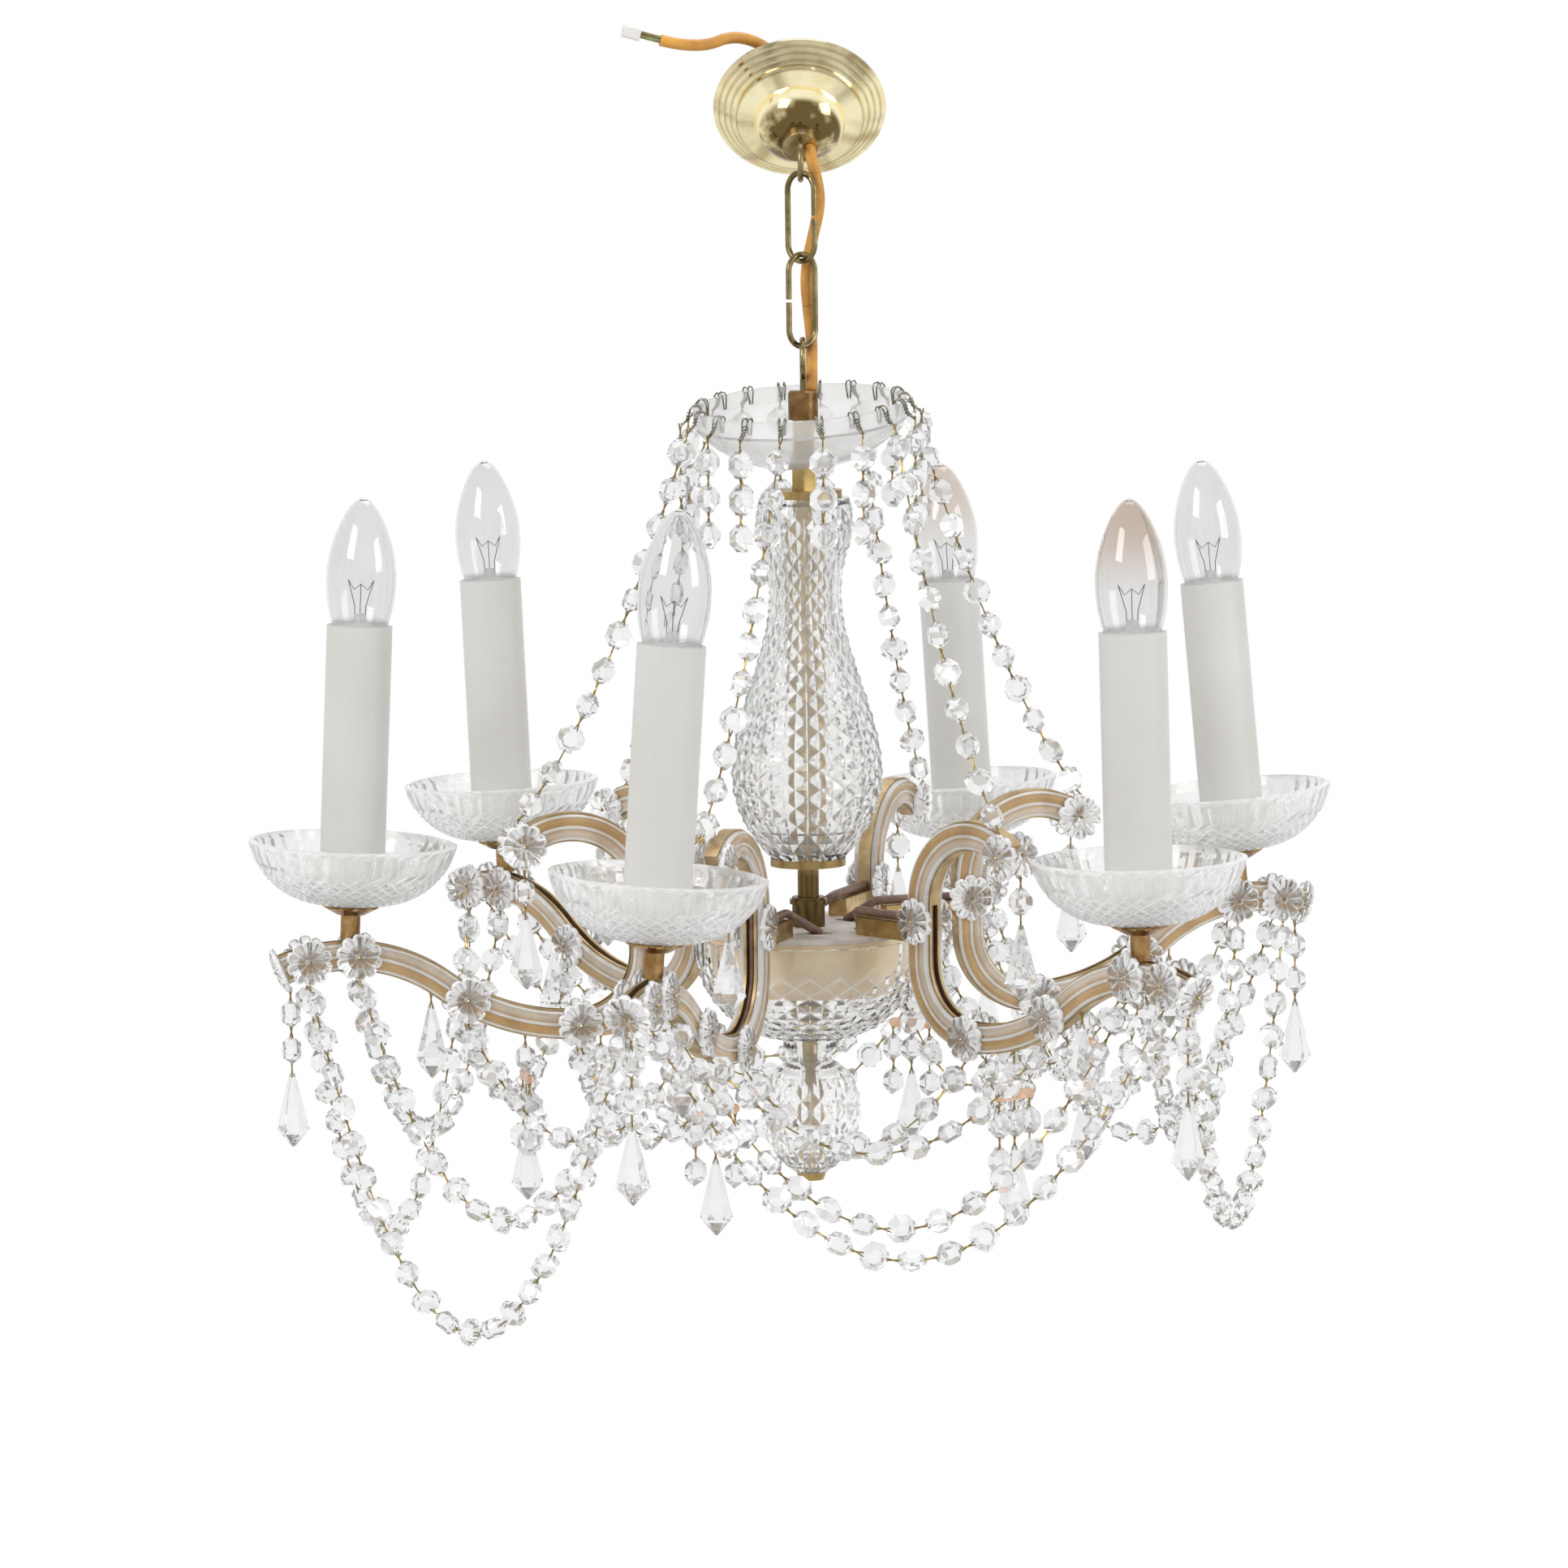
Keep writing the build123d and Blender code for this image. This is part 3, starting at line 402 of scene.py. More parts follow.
@dataclass(frozen=True)
class Metal:
    """A metal with tarnish in patches and fine scratches, with painted shade over some span of height."""

    name: str
    color: Color
    tarnish: Color
    rough: float
    patch: float = 60.0
    share: float = 0.5
    spread: float = 0.16
    scratch: float = 900.0
    grain: float = 0.00004
    wear: Row = (0.22, 0.08)
    mean_wear: float = 0.12
    # Colour, span of height and fade of the painted shade.
    dark: Color | None = None
    dark_span: Row = (0.0, 0.0)
    shade_fade: Row = (0.004, 0.008)
    waver: float = 0.02

    def make(self) -> Material:
        """Build the material.

        Returns:
            The material.
        """
        shader = Shader.named(self.name)
        patches = shader.noise(self.patch, 6.0)
        fine = shader.noise(self.scratch, 2.0, (1.0, 1.0, 0.25))
        bright, dull = self.share - self.spread, self.share + self.spread
        color = shader.ramp(patches, (bright, self.color), (dull, self.tarnish))
        # Painted shade: darker over a span of height, its bounds wavering with the patches.
        if self.dark:
            low, high = self.dark_span
            rise, fall = self.shade_fade
            level = shader.height() + patches * self.waver - self.waver / 2
            inside = shader.between(level, low, low + rise)
            inside = inside * shader.between(level, high, high - fall)
            color = shader.mix(inside, color, self.dark)
        patch_wear, fine_wear = self.wear
        wear = patches * patch_wear + fine * fine_wear
        surface = {
            "Base Color": color,
            "Metallic": 1.0,
            "Roughness": wear + (self.rough - self.mean_wear),
            "Normal": shader.bump(fine, self.grain, 0.5),
        }
        return shader.finish(shader.principled(surface))


@dataclass(frozen=True)
class Spun:
    """A polished spun dish with painted reflections and painted shade: a dark domed middle as the painted mirror of a
    darker room, a painted dark band along the top, painted shade lines at the ring steps, and painted shade on its
    rougher open side.
    """

    name: str
    color: Color
    tarnish: Color
    # Colour of the painted shade and of the painted reflections of a darker room.
    painted_shade_and_reflection: Color
    tilt: float
    radius: float
    profile: tuple[Row, ...]
    steps: tuple[float, ...]
    unit: float = 20.0
    skin: float = 0.004
    edge: float = 0.002
    # The next two fields place the painted dark reflection along the top, between the rings.
    upper: Row = (-0.016, -0.036)
    rings: Row = (0.031, 0.034)
    # The next two fields give the width and the share of the painted shade lines at the ring steps.
    line: Row = (0.0009, 0.0002)
    step_shade_share: float = 0.4
    # Share of the painted shade on the open side, which is also rougher.
    inside_shade_share: float = 0.75
    dull_rough: float = 0.3
    rough: float = 0.07

    def make(self) -> Material:
        """Build the material.

        Returns:
            The material.
        """
        shader = Shader.named(self.name)
        spot = shader.node(
            "ShaderNodeVectorRotate",
            {"rotation_type": "X_AXIS"},
            {"Vector": shader.place(), "Angle": math.radians(self.tilt)},
        )
        flat = {0: spot, 1: (1.0, 1.0, 0.0)}
        reach = shader.reach(shader.node("ShaderNodeVectorMath", {"operation": "MULTIPLY"}, flat))
        stops = ((out * self.unit, (rise * self.unit,) * 3) for out, rise in self.profile)
        sheet = shader.ramp(reach * self.unit, *stops)
        inside = shader.between(shader.axis(spot, 2) * self.unit - sheet, -self.skin, self.skin)
        cloud = shader.noise(70.0, 3.0)
        fine = shader.noise(500.0, 2.0)
        dish = shader.ramp(cloud, (0.4, self.color), (0.7, self.tarnish))
        # Painted reflection: the top of the dish between the rings is painted darker, broken up by the cloud.
        upper = shader.between(shader.axis(spot, 1), *self.upper)
        upper = upper * shader.between(reach, *self.rings)
        dish = shader.mix(upper * (cloud * 0.8 + 0.1), dish, self.painted_shade_and_reflection)
        # Painted shade: thin dark lines along the ring steps.
        for step in self.steps:
            line = shader.between(abs(reach - step), *self.line)
            dish = shader.mix(line * self.step_shade_share, dish, self.painted_shade_and_reflection)
        # Painted reflection: the dome is painted dark as the mirror of a darker room, and its patches of the tarnish
        # colour are painted golden reflections.
        dome = shader.ramp(cloud, (0.46, self.painted_shade_and_reflection), (0.64, self.tarnish))
        beyond = shader.between(reach, self.radius - self.edge, self.radius)
        outside = shader.mix(beyond, dome, dish)
        surface = {
            # Painted shade: the open side is painted darker.
            "Base Color": shader.mix(inside * self.inside_shade_share, outside, self.painted_shade_and_reflection),
            "Metallic": 1.0,
            "Roughness": fine * 0.08 + inside * self.dull_rough + self.rough,
        }
        return shader.finish(shader.principled(surface))


@dataclass(frozen=True)
class Plastic:
    """A moulded plastic or enamel with a little unevenness."""

    name: str
    color: Color
    shade: Color
    rough: float
    patch: float = 45.0
    wave: float = 0.00006
    uneven: float = 0.12

    def make(self) -> Material:
        """Build the material.

        Returns:
            The material.
        """
        shader = Shader.named(self.name)
        patches = shader.noise(self.patch, 4.0)
        fine = shader.noise(700.0, 2.0)
        surface = {
            "Base Color": shader.ramp(patches, (0.36, self.color), (0.68, self.shade)),
            "Roughness": fine * self.uneven + (self.rough - self.uneven / 2),
            "Normal": shader.bump(fine, self.wave, 0.4),
        }
        return shader.finish(shader.principled(surface))


@dataclass(frozen=True)
class Glass:
    """Clear glass with faint dust, some milkiness and, on some bulbs, a browned tip."""

    name: str
    tint: Color
    dust: Color
    rough: float
    index: float
    milk: float = 0.0
    ridge: float = 0.0
    crisp: float = 3.0
    edge: Color | None = None
    tip: Color | None = None
    tip_span: Row = (0.0, 1.0)
    dusting: float = 0.04

    def body(self, shader: Shader, color: Value, clouds: Value, milk: float) -> Value:
        """One glass surface.

        Args:
            shader: The tree.
            color: Its tint.
            clouds: What roughens it.
            milk: Share of light that it scatters.

        Returns:
            The surface.
        """
        surface = {
            "Base Color": color,
            "Roughness": clouds * self.dusting + self.rough,
            "Transmission Weight": 1.0 - milk,
            "IOR": self.index,
        }
        return shader.principled(surface)

    def make(self) -> Material:
        """Build the material.

        Returns:
            The material.
        """
        shader = Shader.named(self.name)
        clouds = shader.noise(38.0, 5.0)
        color = shader.ramp(clouds, (0.42, self.tint), (0.75, self.dust))
        if self.edge:
            facing = shader.node("ShaderNodeLayerWeight", {}, {"Blend": 0.3}, output="Facing")
            color = shader.mix(facing, color, self.edge)
        if self.tip:
            color = shader.mix(shader.between(shader.height(), *self.tip_span), color, self.tip)
        surface = self.body(shader, color, clouds, self.milk)
        if self.ridge:
            milky = self.body(shader, color, clouds, self.ridge)
            surface = shader.joined(shader.pale() ** self.crisp, surface, milky)
        return shader.finish(surface)


@dataclass(frozen=True)
class GildedGlass:
    """Glass with gilding behind it and pale ridges marked by the piece's own attribute, the white of the pale ridges
    and edges being painted highlights.
    """

    name: str
    gilding: Color
    shade: Color
    ridge: Color

    def make(self) -> Material:
        """Build the material.

        Returns:
            The material.
        """
        shader = Shader.named(self.name)
        streaks = shader.noise(55.0, 5.0)
        gilded = {
            "Base Color": shader.ramp(streaks, (0.36, self.gilding), (0.68, self.shade)),
            "Roughness": streaks * 0.3 + 0.15,
            "Coat Weight": 0.8,
            "Coat Roughness": 0.05,
        }
        # Painted highlights: the pale ridges and edges are milky white glass.
        milky = {
            "Base Color": shader.ramp(streaks, (0.5, self.ridge), (1.0, self.gilding)),
            "Roughness": 0.08,
            "Transmission Weight": 0.3,
            "IOR": 1.45,
        }
        ends = shader.principled(gilded), shader.principled(milky)
        return shader.finish(shader.joined(shader.pale(), *ends))


Finish = Metal | Spun | Plastic | Glass | GildedGlass

RING_STEPS = (0.0328, 0.0358, 0.0388, 0.0418)
DISH_PROFILE = (
    (0.0092, 0.01765), (0.0127, 0.01864), (0.01589, 0.02037), (0.01864, 0.02275),
    (0.0208, 0.02567), (0.02228, 0.02899), (0.023, 0.03255), (0.0325, 0.03455),
    (0.0331, 0.03755), (0.0355, 0.03805), (0.0361, 0.03955), (0.0385, 0.04005),
    (0.0391, 0.04155), (0.0415, 0.04205), (0.0421, 0.04355), (0.0445, 0.04405),
)
# Its third colour is the painted shade and painted reflection.
POLISHED_BRASS = Spun(
    "polished_brass", (0.98, 0.89, 0.58), (0.84, 0.71, 0.4), (0.15, 0.1, 0.035), 51.0, 0.022,
    DISH_PROFILE, RING_STEPS,
)
COLLAR_BRASS = Metal("collar_brass", (0.62, 0.52, 0.3), (0.42, 0.32, 0.16), 0.24, 200.0)
AGED_BRASS = Metal("aged_brass", (0.29, 0.23, 0.11), (0.13, 0.1, 0.04), 0.22, 140.0)
# The stem and the discs take painted shade around the gap between the column's foot and the hub.
STEM_BRASS = Metal(
    "stem_brass", (0.45, 0.32, 0.13), (0.25, 0.17, 0.065), 0.3, 120.0, 0.55,
    dark=(0.12, 0.08, 0.03), dark_span=(-0.42, -0.36),
)
DISC_BRASS = replace(
    STEM_BRASS, name="disc_brass", dark=(0.3, 0.21, 0.085), dark_span=(-0.42, -0.33)
)
COPPER_BRASS = Metal("copper_brass", (0.42, 0.27, 0.11), (0.24, 0.13, 0.05), 0.28, 160.0)
CAP_BRASS = Metal("cap_brass", (0.26, 0.15, 0.06), (0.13, 0.07, 0.025), 0.26, 160.0)
GILT = Metal("gilt", (0.56, 0.42, 0.24), (0.34, 0.24, 0.12), 0.42, 90.0)
# The drum's pale gilt is raised towards white: partly its own tone, partly painted light for the light that the bowl's
# glass holds back.
DRUM_GILT = Plastic("drum_gilt", (1.0, 0.83, 0.58), (0.9, 0.7, 0.44), 0.34, 60.0, 0.0002)
BRACKET_BRASS = Metal("bracket_brass", (0.56, 0.4, 0.17), (0.36, 0.24, 0.09), 0.3, 160.0)
GOLD_WIRE = Metal("gold_wire", (0.38, 0.28, 0.1), (0.19, 0.135, 0.045), 0.26, 300.0)
PIN = Metal("pin", (0.42, 0.34, 0.19), (0.22, 0.16, 0.08), 0.26, 300.0)
ROSE_GOLD = Metal("rose_gold", (0.86, 0.62, 0.46), (0.62, 0.38, 0.25), 0.3, 200.0)
STEEL_WIRE = Metal("steel_wire", (0.3, 0.29, 0.24), (0.1, 0.09, 0.06), 0.24, 260.0)
DARK_METAL = Metal("dark_metal", (0.2, 0.19, 0.18), (0.1, 0.09, 0.09), 0.4, 160.0)
FILAMENT = Metal("filament", (0.16, 0.15, 0.14), (0.08, 0.08, 0.08), 0.35, 400.0)
GREY_PAINT = Plastic("grey_paint", (0.74, 0.7, 0.65), (0.5, 0.42, 0.36), 0.5, 90.0)
CREAM_PLASTIC = Plastic("cream_plastic", (0.7, 0.69, 0.66), (0.65, 0.635, 0.6), 0.42, 14.0)
WHITE_PLASTIC = Plastic("white_plastic", (0.86, 0.85, 0.82), (0.78, 0.76, 0.72), 0.4)
BROWN_WIRE = Plastic("brown_wire", (0.14, 0.08, 0.06), (0.24, 0.14, 0.1), 0.4, 200.0)
ORANGE_FLEX = Plastic("orange_flex", (0.76, 0.37, 0.06), (0.45, 0.2, 0.04), 0.46, 60.0, 0.0002)
CORE_PLASTIC = Plastic("core_plastic", (0.2, 0.32, 0.1), (0.24, 0.1, 0.05), 0.4, 260.0)
CUT_GLASS = Glass(
    "cut_glass", (0.98, 0.98, 0.975), (0.955, 0.955, 0.945), 0.015, 1.46, milk=0.09, ridge=0.24
)
BOWL_GLASS = Glass(
    "bowl_glass", (0.99, 0.99, 0.985), (0.97, 0.97, 0.96), 0.01, 1.45, milk=0.01, ridge=0.36
)
PAN_GLASS = Glass(
    "pan_glass", (0.995, 0.995, 0.99), (0.98, 0.98, 0.975), 0.015, 1.36, milk=0.25, ridge=0.52
)
PLAIN_GLASS = Glass("plain_glass", (0.99, 0.99, 0.985), (0.97, 0.97, 0.965), 0.12, 1.38, milk=0.28)
MOUNT_GLASS = Glass("mount_glass", (0.99, 0.99, 0.985), (0.97, 0.97, 0.965), 0.05, 1.4, milk=0.8)
BULB_GLASS = Glass(
    "bulb_glass", (0.87, 0.87, 0.87), (0.84, 0.84, 0.835), 0.0, 1.45, ridge=0.9,
    edge=(0.8, 0.81, 0.81),
)
CRYSTAL = Glass("crystal", (0.965, 0.965, 0.965), (0.94, 0.945, 0.945), 0.01, 1.5, milk=0.16)
FLOWER_GLASS = Glass(
    "flower_glass", (0.985, 0.98, 0.975), (0.96, 0.955, 0.95), 0.01, 1.42,
    milk=0.04, ridge=0.8, crisp=1.0,
)
# Its third colour is the white of the painted highlights on the ridges and edges.
STRIP_GLASS = GildedGlass(
    "strip_glass", (0.54, 0.345, 0.14), (0.38, 0.23, 0.085), (0.95, 0.94, 0.91)
)


@cache
def material(finish: Finish) -> Material:
    """The material of a finish, made once."""
    return finish.make()


def dress(finish: Finish, *nodes: str) -> None:
    """Give kept solids their material.

    Args:
        finish: Their finish.
        nodes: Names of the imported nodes.
    """
    for node in nodes:
        mesh = frame["nodes"][node].data
        mesh.materials.clear()
        mesh.materials.append(material(finish))


def stored(bm: BMesh, name: str = "template") -> Mesh:
    """Store a bmesh as a mesh and free it.

    Args:
        bm: The shape.
        name: The mesh's name.

    Returns:
        The mesh.
    """
    mesh = bpy.data.meshes.new(name)
    bm.to_mesh(mesh)
    bm.free()
    return mesh


def piece(name: str, bm: BMesh, finish: Finish, slot: str, body: str | None = None) -> Object:
    """Turn a bmesh into a piece.

    Args:
        name: Name of the new piece.
        bm: The shape, in metres, freed here.
        finish: Its finish.
        slot: The record's material slot.
        body: The body that it moves with, unless its maker declares how it moves.

    Returns:
        The new object.
    """
    mesh = stored(bm, name)
    mesh.materials.append(material(finish))
    obj = bpy.data.objects.new(name, mesh)
    bpy.context.scene.collection.objects.link(obj)
    if body:
        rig.ride(obj, body)
    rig.slot(obj, slot)
    log.info("%s: %d faces on %s", name, len(mesh.polygons), body or "the flex's own bodies")
    return obj


def add_copy(target: BMesh, mesh: Mesh, place: Matrix) -> None:
    """Add a copy of a template mesh.

    Args:
        target: The bmesh that receives it.
        mesh: The template.
        place: Where the copy goes.
    """
    first = len(target.verts)
    target.from_mesh(mesh)
    target.verts.ensure_lookup_table()
    bmesh.ops.transform(target, matrix=place, verts=target.verts[first:])


def gather(places: Sequence[Matrix], *meshes: Mesh) -> BMesh:
    """Copies of template meshes at every place.

    Args:
        places: Where the copies go.
        meshes: The templates.

    Returns:
        All the copies.
    """
    bm = bmesh.new()
    for mesh in meshes:
        for place in places:
            add_copy(bm, mesh, place)
    return bm


def of_kind(geom: Iterable, kind: type) -> list:
    """The vertices or the faces among an operator's results."""
    return [item for item in geom if isinstance(item, kind)]


def face_out(bm: BMesh) -> BMesh:
    """Turn a shape's faces outwards and return it."""
    bmesh.ops.recalc_face_normals(bm, faces=bm.faces)
    return bm


def smooth(obj: Object) -> None:
    """Shade a piece smooth."""
    for face in obj.data.polygons:
        face.use_smooth = True


def upright(origin: Vector, up: Vector, front: Vector) -> Matrix:
    """A frame whose z is one direction and whose x turns towards another.

    Args:
        origin: Where it stands.
        up: Its z, of length one.
        front: The direction that x turns towards.

    Returns:
        Its matrix.
    """
    side = up.cross(front).normalized()
    turn = Matrix((side.cross(up), side, up)).transposed().to_4x4()
    return Matrix.Translation(origin) @ turn


def cone(bm: BMesh, sides: int, radii: Row, height: float, place: Matrix) -> None:
    """Add a capped rod or cone whose radii are those of its foot and its top."""
    size = {"radius1": radii[0], "radius2": radii[1], "depth": height}
    bmesh.ops.create_cone(bm, cap_ends=True, segments=sides, matrix=place, **size)


def walls(line: Sequence[Row], thickness: float) -> tuple[list[Row], list[Row]]:
    """The outside and the inside of a sheet along a line.

    Args:
        line: Radius and height along the sheet's middle, from the foot up.
        thickness: The sheet's thickness.

    Returns:
        Rows of the outside and of the inside.
    """
    points = np.array(line, dtype=float)
    run = np.gradient(points, axis=0)
    run /= np.linalg.norm(run, axis=1)[:, None]
    out = np.stack([run[:, 1], -run[:, 0]], axis=1) * thickness / 2
    return [tuple(p) for p in points + out], [tuple(p) for p in points - out]


def spaced(line: Sequence[Row], count: int) -> Iterable[tuple[Row, float]]:
    """Points at even steps along a line.

    Args:
        line: Radius and height along it.
        count: How many points.

    Yields:
        Each point, and how much of the line is left beyond it.
    """
    radii, heights = (np.array(column) for column in zip(*line))
    arc = np.concatenate([[0.0], np.cumsum(np.hypot(np.diff(radii), np.diff(heights)))])
    for place in np.linspace(0.0, arc[-1], count):
        point = float(np.interp(place, arc, radii)), float(np.interp(place, arc, heights))
        yield point, float(arc[-1] - place)


def raised(line: Iterable[Row], level: float, cut: Cut = Cut.PLAIN) -> list[CutRow]:
    """Rows of one cut, raised to a level."""
    return [((radius, height + level), cut) for radius, height in line]


def turned(rows: Sequence[CutRow], columns: int, depth: float = 0.0) -> BMesh:
    """Turn a closed profile about Z and cut its rows.

    Args:
        rows: Radius and height in mm with the cut of each row, round the profile.
        columns: Steps round the axis, an even number.
        depth: Depth of the cuts in mm.

    Returns:
        The turned shape, in metres.
    """
    bm = bmesh.new()
    index = bm.verts.layers.int.new("row")
    pale = bm.verts.layers.float.new("pale")
    verts = []
    for number, ((radius, height), _) in enumerate(rows):
        vert = bm.verts.new((radius * MM, 0.0, height * MM))
        vert[index] = number
        verts.append(vert)
    edges = [bm.edges.new(pair) for pair in pairwise([*verts, verts[0]])]
    turn = {"cent": (0, 0, 0), "axis": (0, 0, 1), "angle": math.tau, "steps": columns}
    bmesh.ops.spin(bm, geom=verts + edges, use_merge=True, **turn)
    bmesh.ops.remove_doubles(bm, verts=bm.verts, dist=MERGE)
    loose = [edge for edge in bm.edges if not edge.link_faces]
    bmesh.ops.delete(bm, geom=loose, context="EDGES")
    face_out(bm)
    corners = []
    for vert in bm.verts:
        column = round(math.atan2(vert.co.y, vert.co.x) / math.tau * columns)
        cut = rows[vert[index]][1]
        proud = (column + vert[index] * (cut is Cut.DIAMOND)) % 2
        if cut is Cut.RIM:
            vert[pale] = 1.0
        elif cut is not Cut.PLAIN and not proud:
            radius = math.hypot(vert.co.x, vert.co.y)
            vert.co.xy *= (radius - depth * MM) / radius
            vert[pale] = 1.0 if cut is Cut.DIAMOND else FLUTE_PALE
            if cut is Cut.DIAMOND:
                corners.append(vert)
    bmesh.ops.connect_verts(bm, verts=corners)
    return bm


def curve_mesh(kind: str, points: Sequence[Vector], **settings: float) -> Mesh:
    """The mesh of a curve along points.

    Args:
        kind: The spline's type.
        points: Its points, in metres.
        settings: Properties of the spline or, where it has none of that name, of the curve.

    Returns:
        The mesh that is read from it.
    """
    curve = bpy.data.curves.new("run", "CURVE")
    curve.dimensions = "3D"
    spline = curve.splines.new(kind)
    spline.points.add(len(points) - 1)
    for knot, point in zip(spline.points, points):
        knot.co = (*point, 1.0)
    for key, value in settings.items():
        setattr(spline if hasattr(spline, key) else curve, key, value)
    holder = bpy.data.objects.new("run", curve)
    mesh = bpy.data.meshes.new_from_object(holder)
    bpy.data.objects.remove(holder)
    bpy.data.curves.remove(curve)
    return mesh


def tube(points: Sequence[Vector], radius: float) -> Mesh:
    """A round capped tube along points, in metres."""
    return curve_mesh("POLY", points, bevel_depth=radius, bevel_resolution=4, use_fill_caps=True)


def wire(line: Iterable[Point], radius: float) -> Mesh:
    """A wire along points, in mm."""
    return tube([Vector(point) * MM for point in line], radius * MM)


def length(points: Sequence[Vector]) -> float:
    """The length of a run of points."""
    return sum((b - a).length for a, b in pairwise(points))


@dataclass
class Studio:
    """Camera at the photograph's angle, soft lamps, pale floor and white surroundings."""

    aim: Point = (-0.012, 0.0, -0.32)
    distance: float = 2.9668
    pitch: float = 6.481
    roll: float = -0.65
    lens: float = 131.67
    sensor: float = 36.0
    bounces: int = 40
    glass_bounces: int = 36
    lamps: tuple[tuple[str, Point, float, float], ...] = (
        ("key", (-1.5, -1.7, 1.0), 1.1, 24.0),
        ("side", (1.8, -0.9, 0.3), 1.0, 12.0),
        ("top", (0.2, 0.6, 1.6), 1.4, 14.0),
    )
    floor_level: float = -1.35
    floor_radius: float = 9.0
    floor_sides: int = 96
    floor_fade: Row = (1.4, 2.2)
    floor_tones: tuple[Color, Color] = ((0.9, 0.9, 0.9), (0.86, 0.86, 0.86))
    fill: float = 0.62

    def build(self) -> None:
        """Make the camera, the lamps, the floor and the world."""
        scene = bpy.context.scene
        scene.view_settings.view_transform = "Standard"
        scene.cycles.max_bounces = self.bounces
        scene.cycles.transmission_bounces = self.glass_bounces
        data = bpy.data.cameras.new("camera")
        data.lens = self.lens
        data.sensor_width = self.sensor
        camera = bpy.data.objects.new("camera", data)
        turn = Matrix.Rotation(math.radians(90 - self.pitch), 4, "X")
        lean = Matrix.Rotation(math.radians(self.roll), 4, "Z")
        back = Matrix.Translation((0.0, 0.0, self.distance))
        camera.matrix_world = Matrix.Translation(self.aim) @ turn @ back @ lean
        scene.collection.objects.link(camera)
        scene.camera = camera
        for lamp in self.lamps:
            self.lamp(*lamp)
        self.floor()
        self.world()

    def lamp(self, name: str, place: Point, size: float, power: float) -> None:
        """Add a soft lamp that faces the object.

        Args:
            name: The lamp's name.
            place: Where it stands.
            size: Side of its square.
            power: Its watts.
        """
        data = bpy.data.lights.new(name, "AREA")
        data.size = size
        data.energy = power
        lamp = bpy.data.objects.new(name, data)
        lamp.location = place
        aim = Vector(self.aim) - Vector(place)
        lamp.rotation_euler = aim.to_track_quat("-Z", "Y").to_euler()
        bpy.context.scene.collection.objects.link(lamp)

    def seen(self, shader: Shader) -> Value:
        """Whether a ray comes from the camera, a reflection or glass.

        Args:
            shader: The tree that asks.

        Returns:
            One for such rays.
        """
        kinds = ("Camera", "Glossy", "Transmission")
        rays = [shader.node("ShaderNodeLightPath", output=f"Is {kind} Ray") for kind in kinds]
        return rays[0].most(rays[1]).most(rays[2])

    def floor(self) -> None:
        """A pale floor under the object that fades into the white."""
        bm = bmesh.new()
        circle = {"segments": self.floor_sides, "radius": self.floor_radius}
        bmesh.ops.create_circle(bm, cap_ends=True, **circle)
        bmesh.ops.translate(bm, vec=(0.0, 0.0, self.floor_level), verts=bm.verts)
        mesh = stored(bm)
        shader = Shader.named("pale_floor")
        fade = shader.between(shader.reach(shader.place()), *self.floor_fade)
        light, dark = self.floor_tones
        tone = shader.ramp(shader.noise(3.0, 3.0), (0.3, light), (0.7, dark))
        pale = shader.principled({"Base Color": tone, "Roughness": 0.7})
        white = shader.node("ShaderNodeEmission", {}, {"Strength": 1.0})
        surface = shader.joined(fade * self.seen(shader), pale, white)
        mesh.materials.append(shader.finish(surface))
        ground = bpy.data.objects.new("floor", mesh)
        bpy.context.scene.collection.objects.link(ground)
        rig.stage(ground)

    def world(self) -> None:
        """White where it is seen, dimmer as light."""
        world = bpy.data.worlds.new("studio")
        bpy.context.scene.world = world
        shader = Shader(world)
        strength = self.seen(shader) * (1.0 - self.fill) + self.fill
        inputs = {"Color": (1.0, 1.0, 1.0, 1.0), "Strength": strength}
        light = shader.node("ShaderNodeBackground", {}, inputs)
        shader.node("ShaderNodeOutputWorld", {}, {"Surface": light})


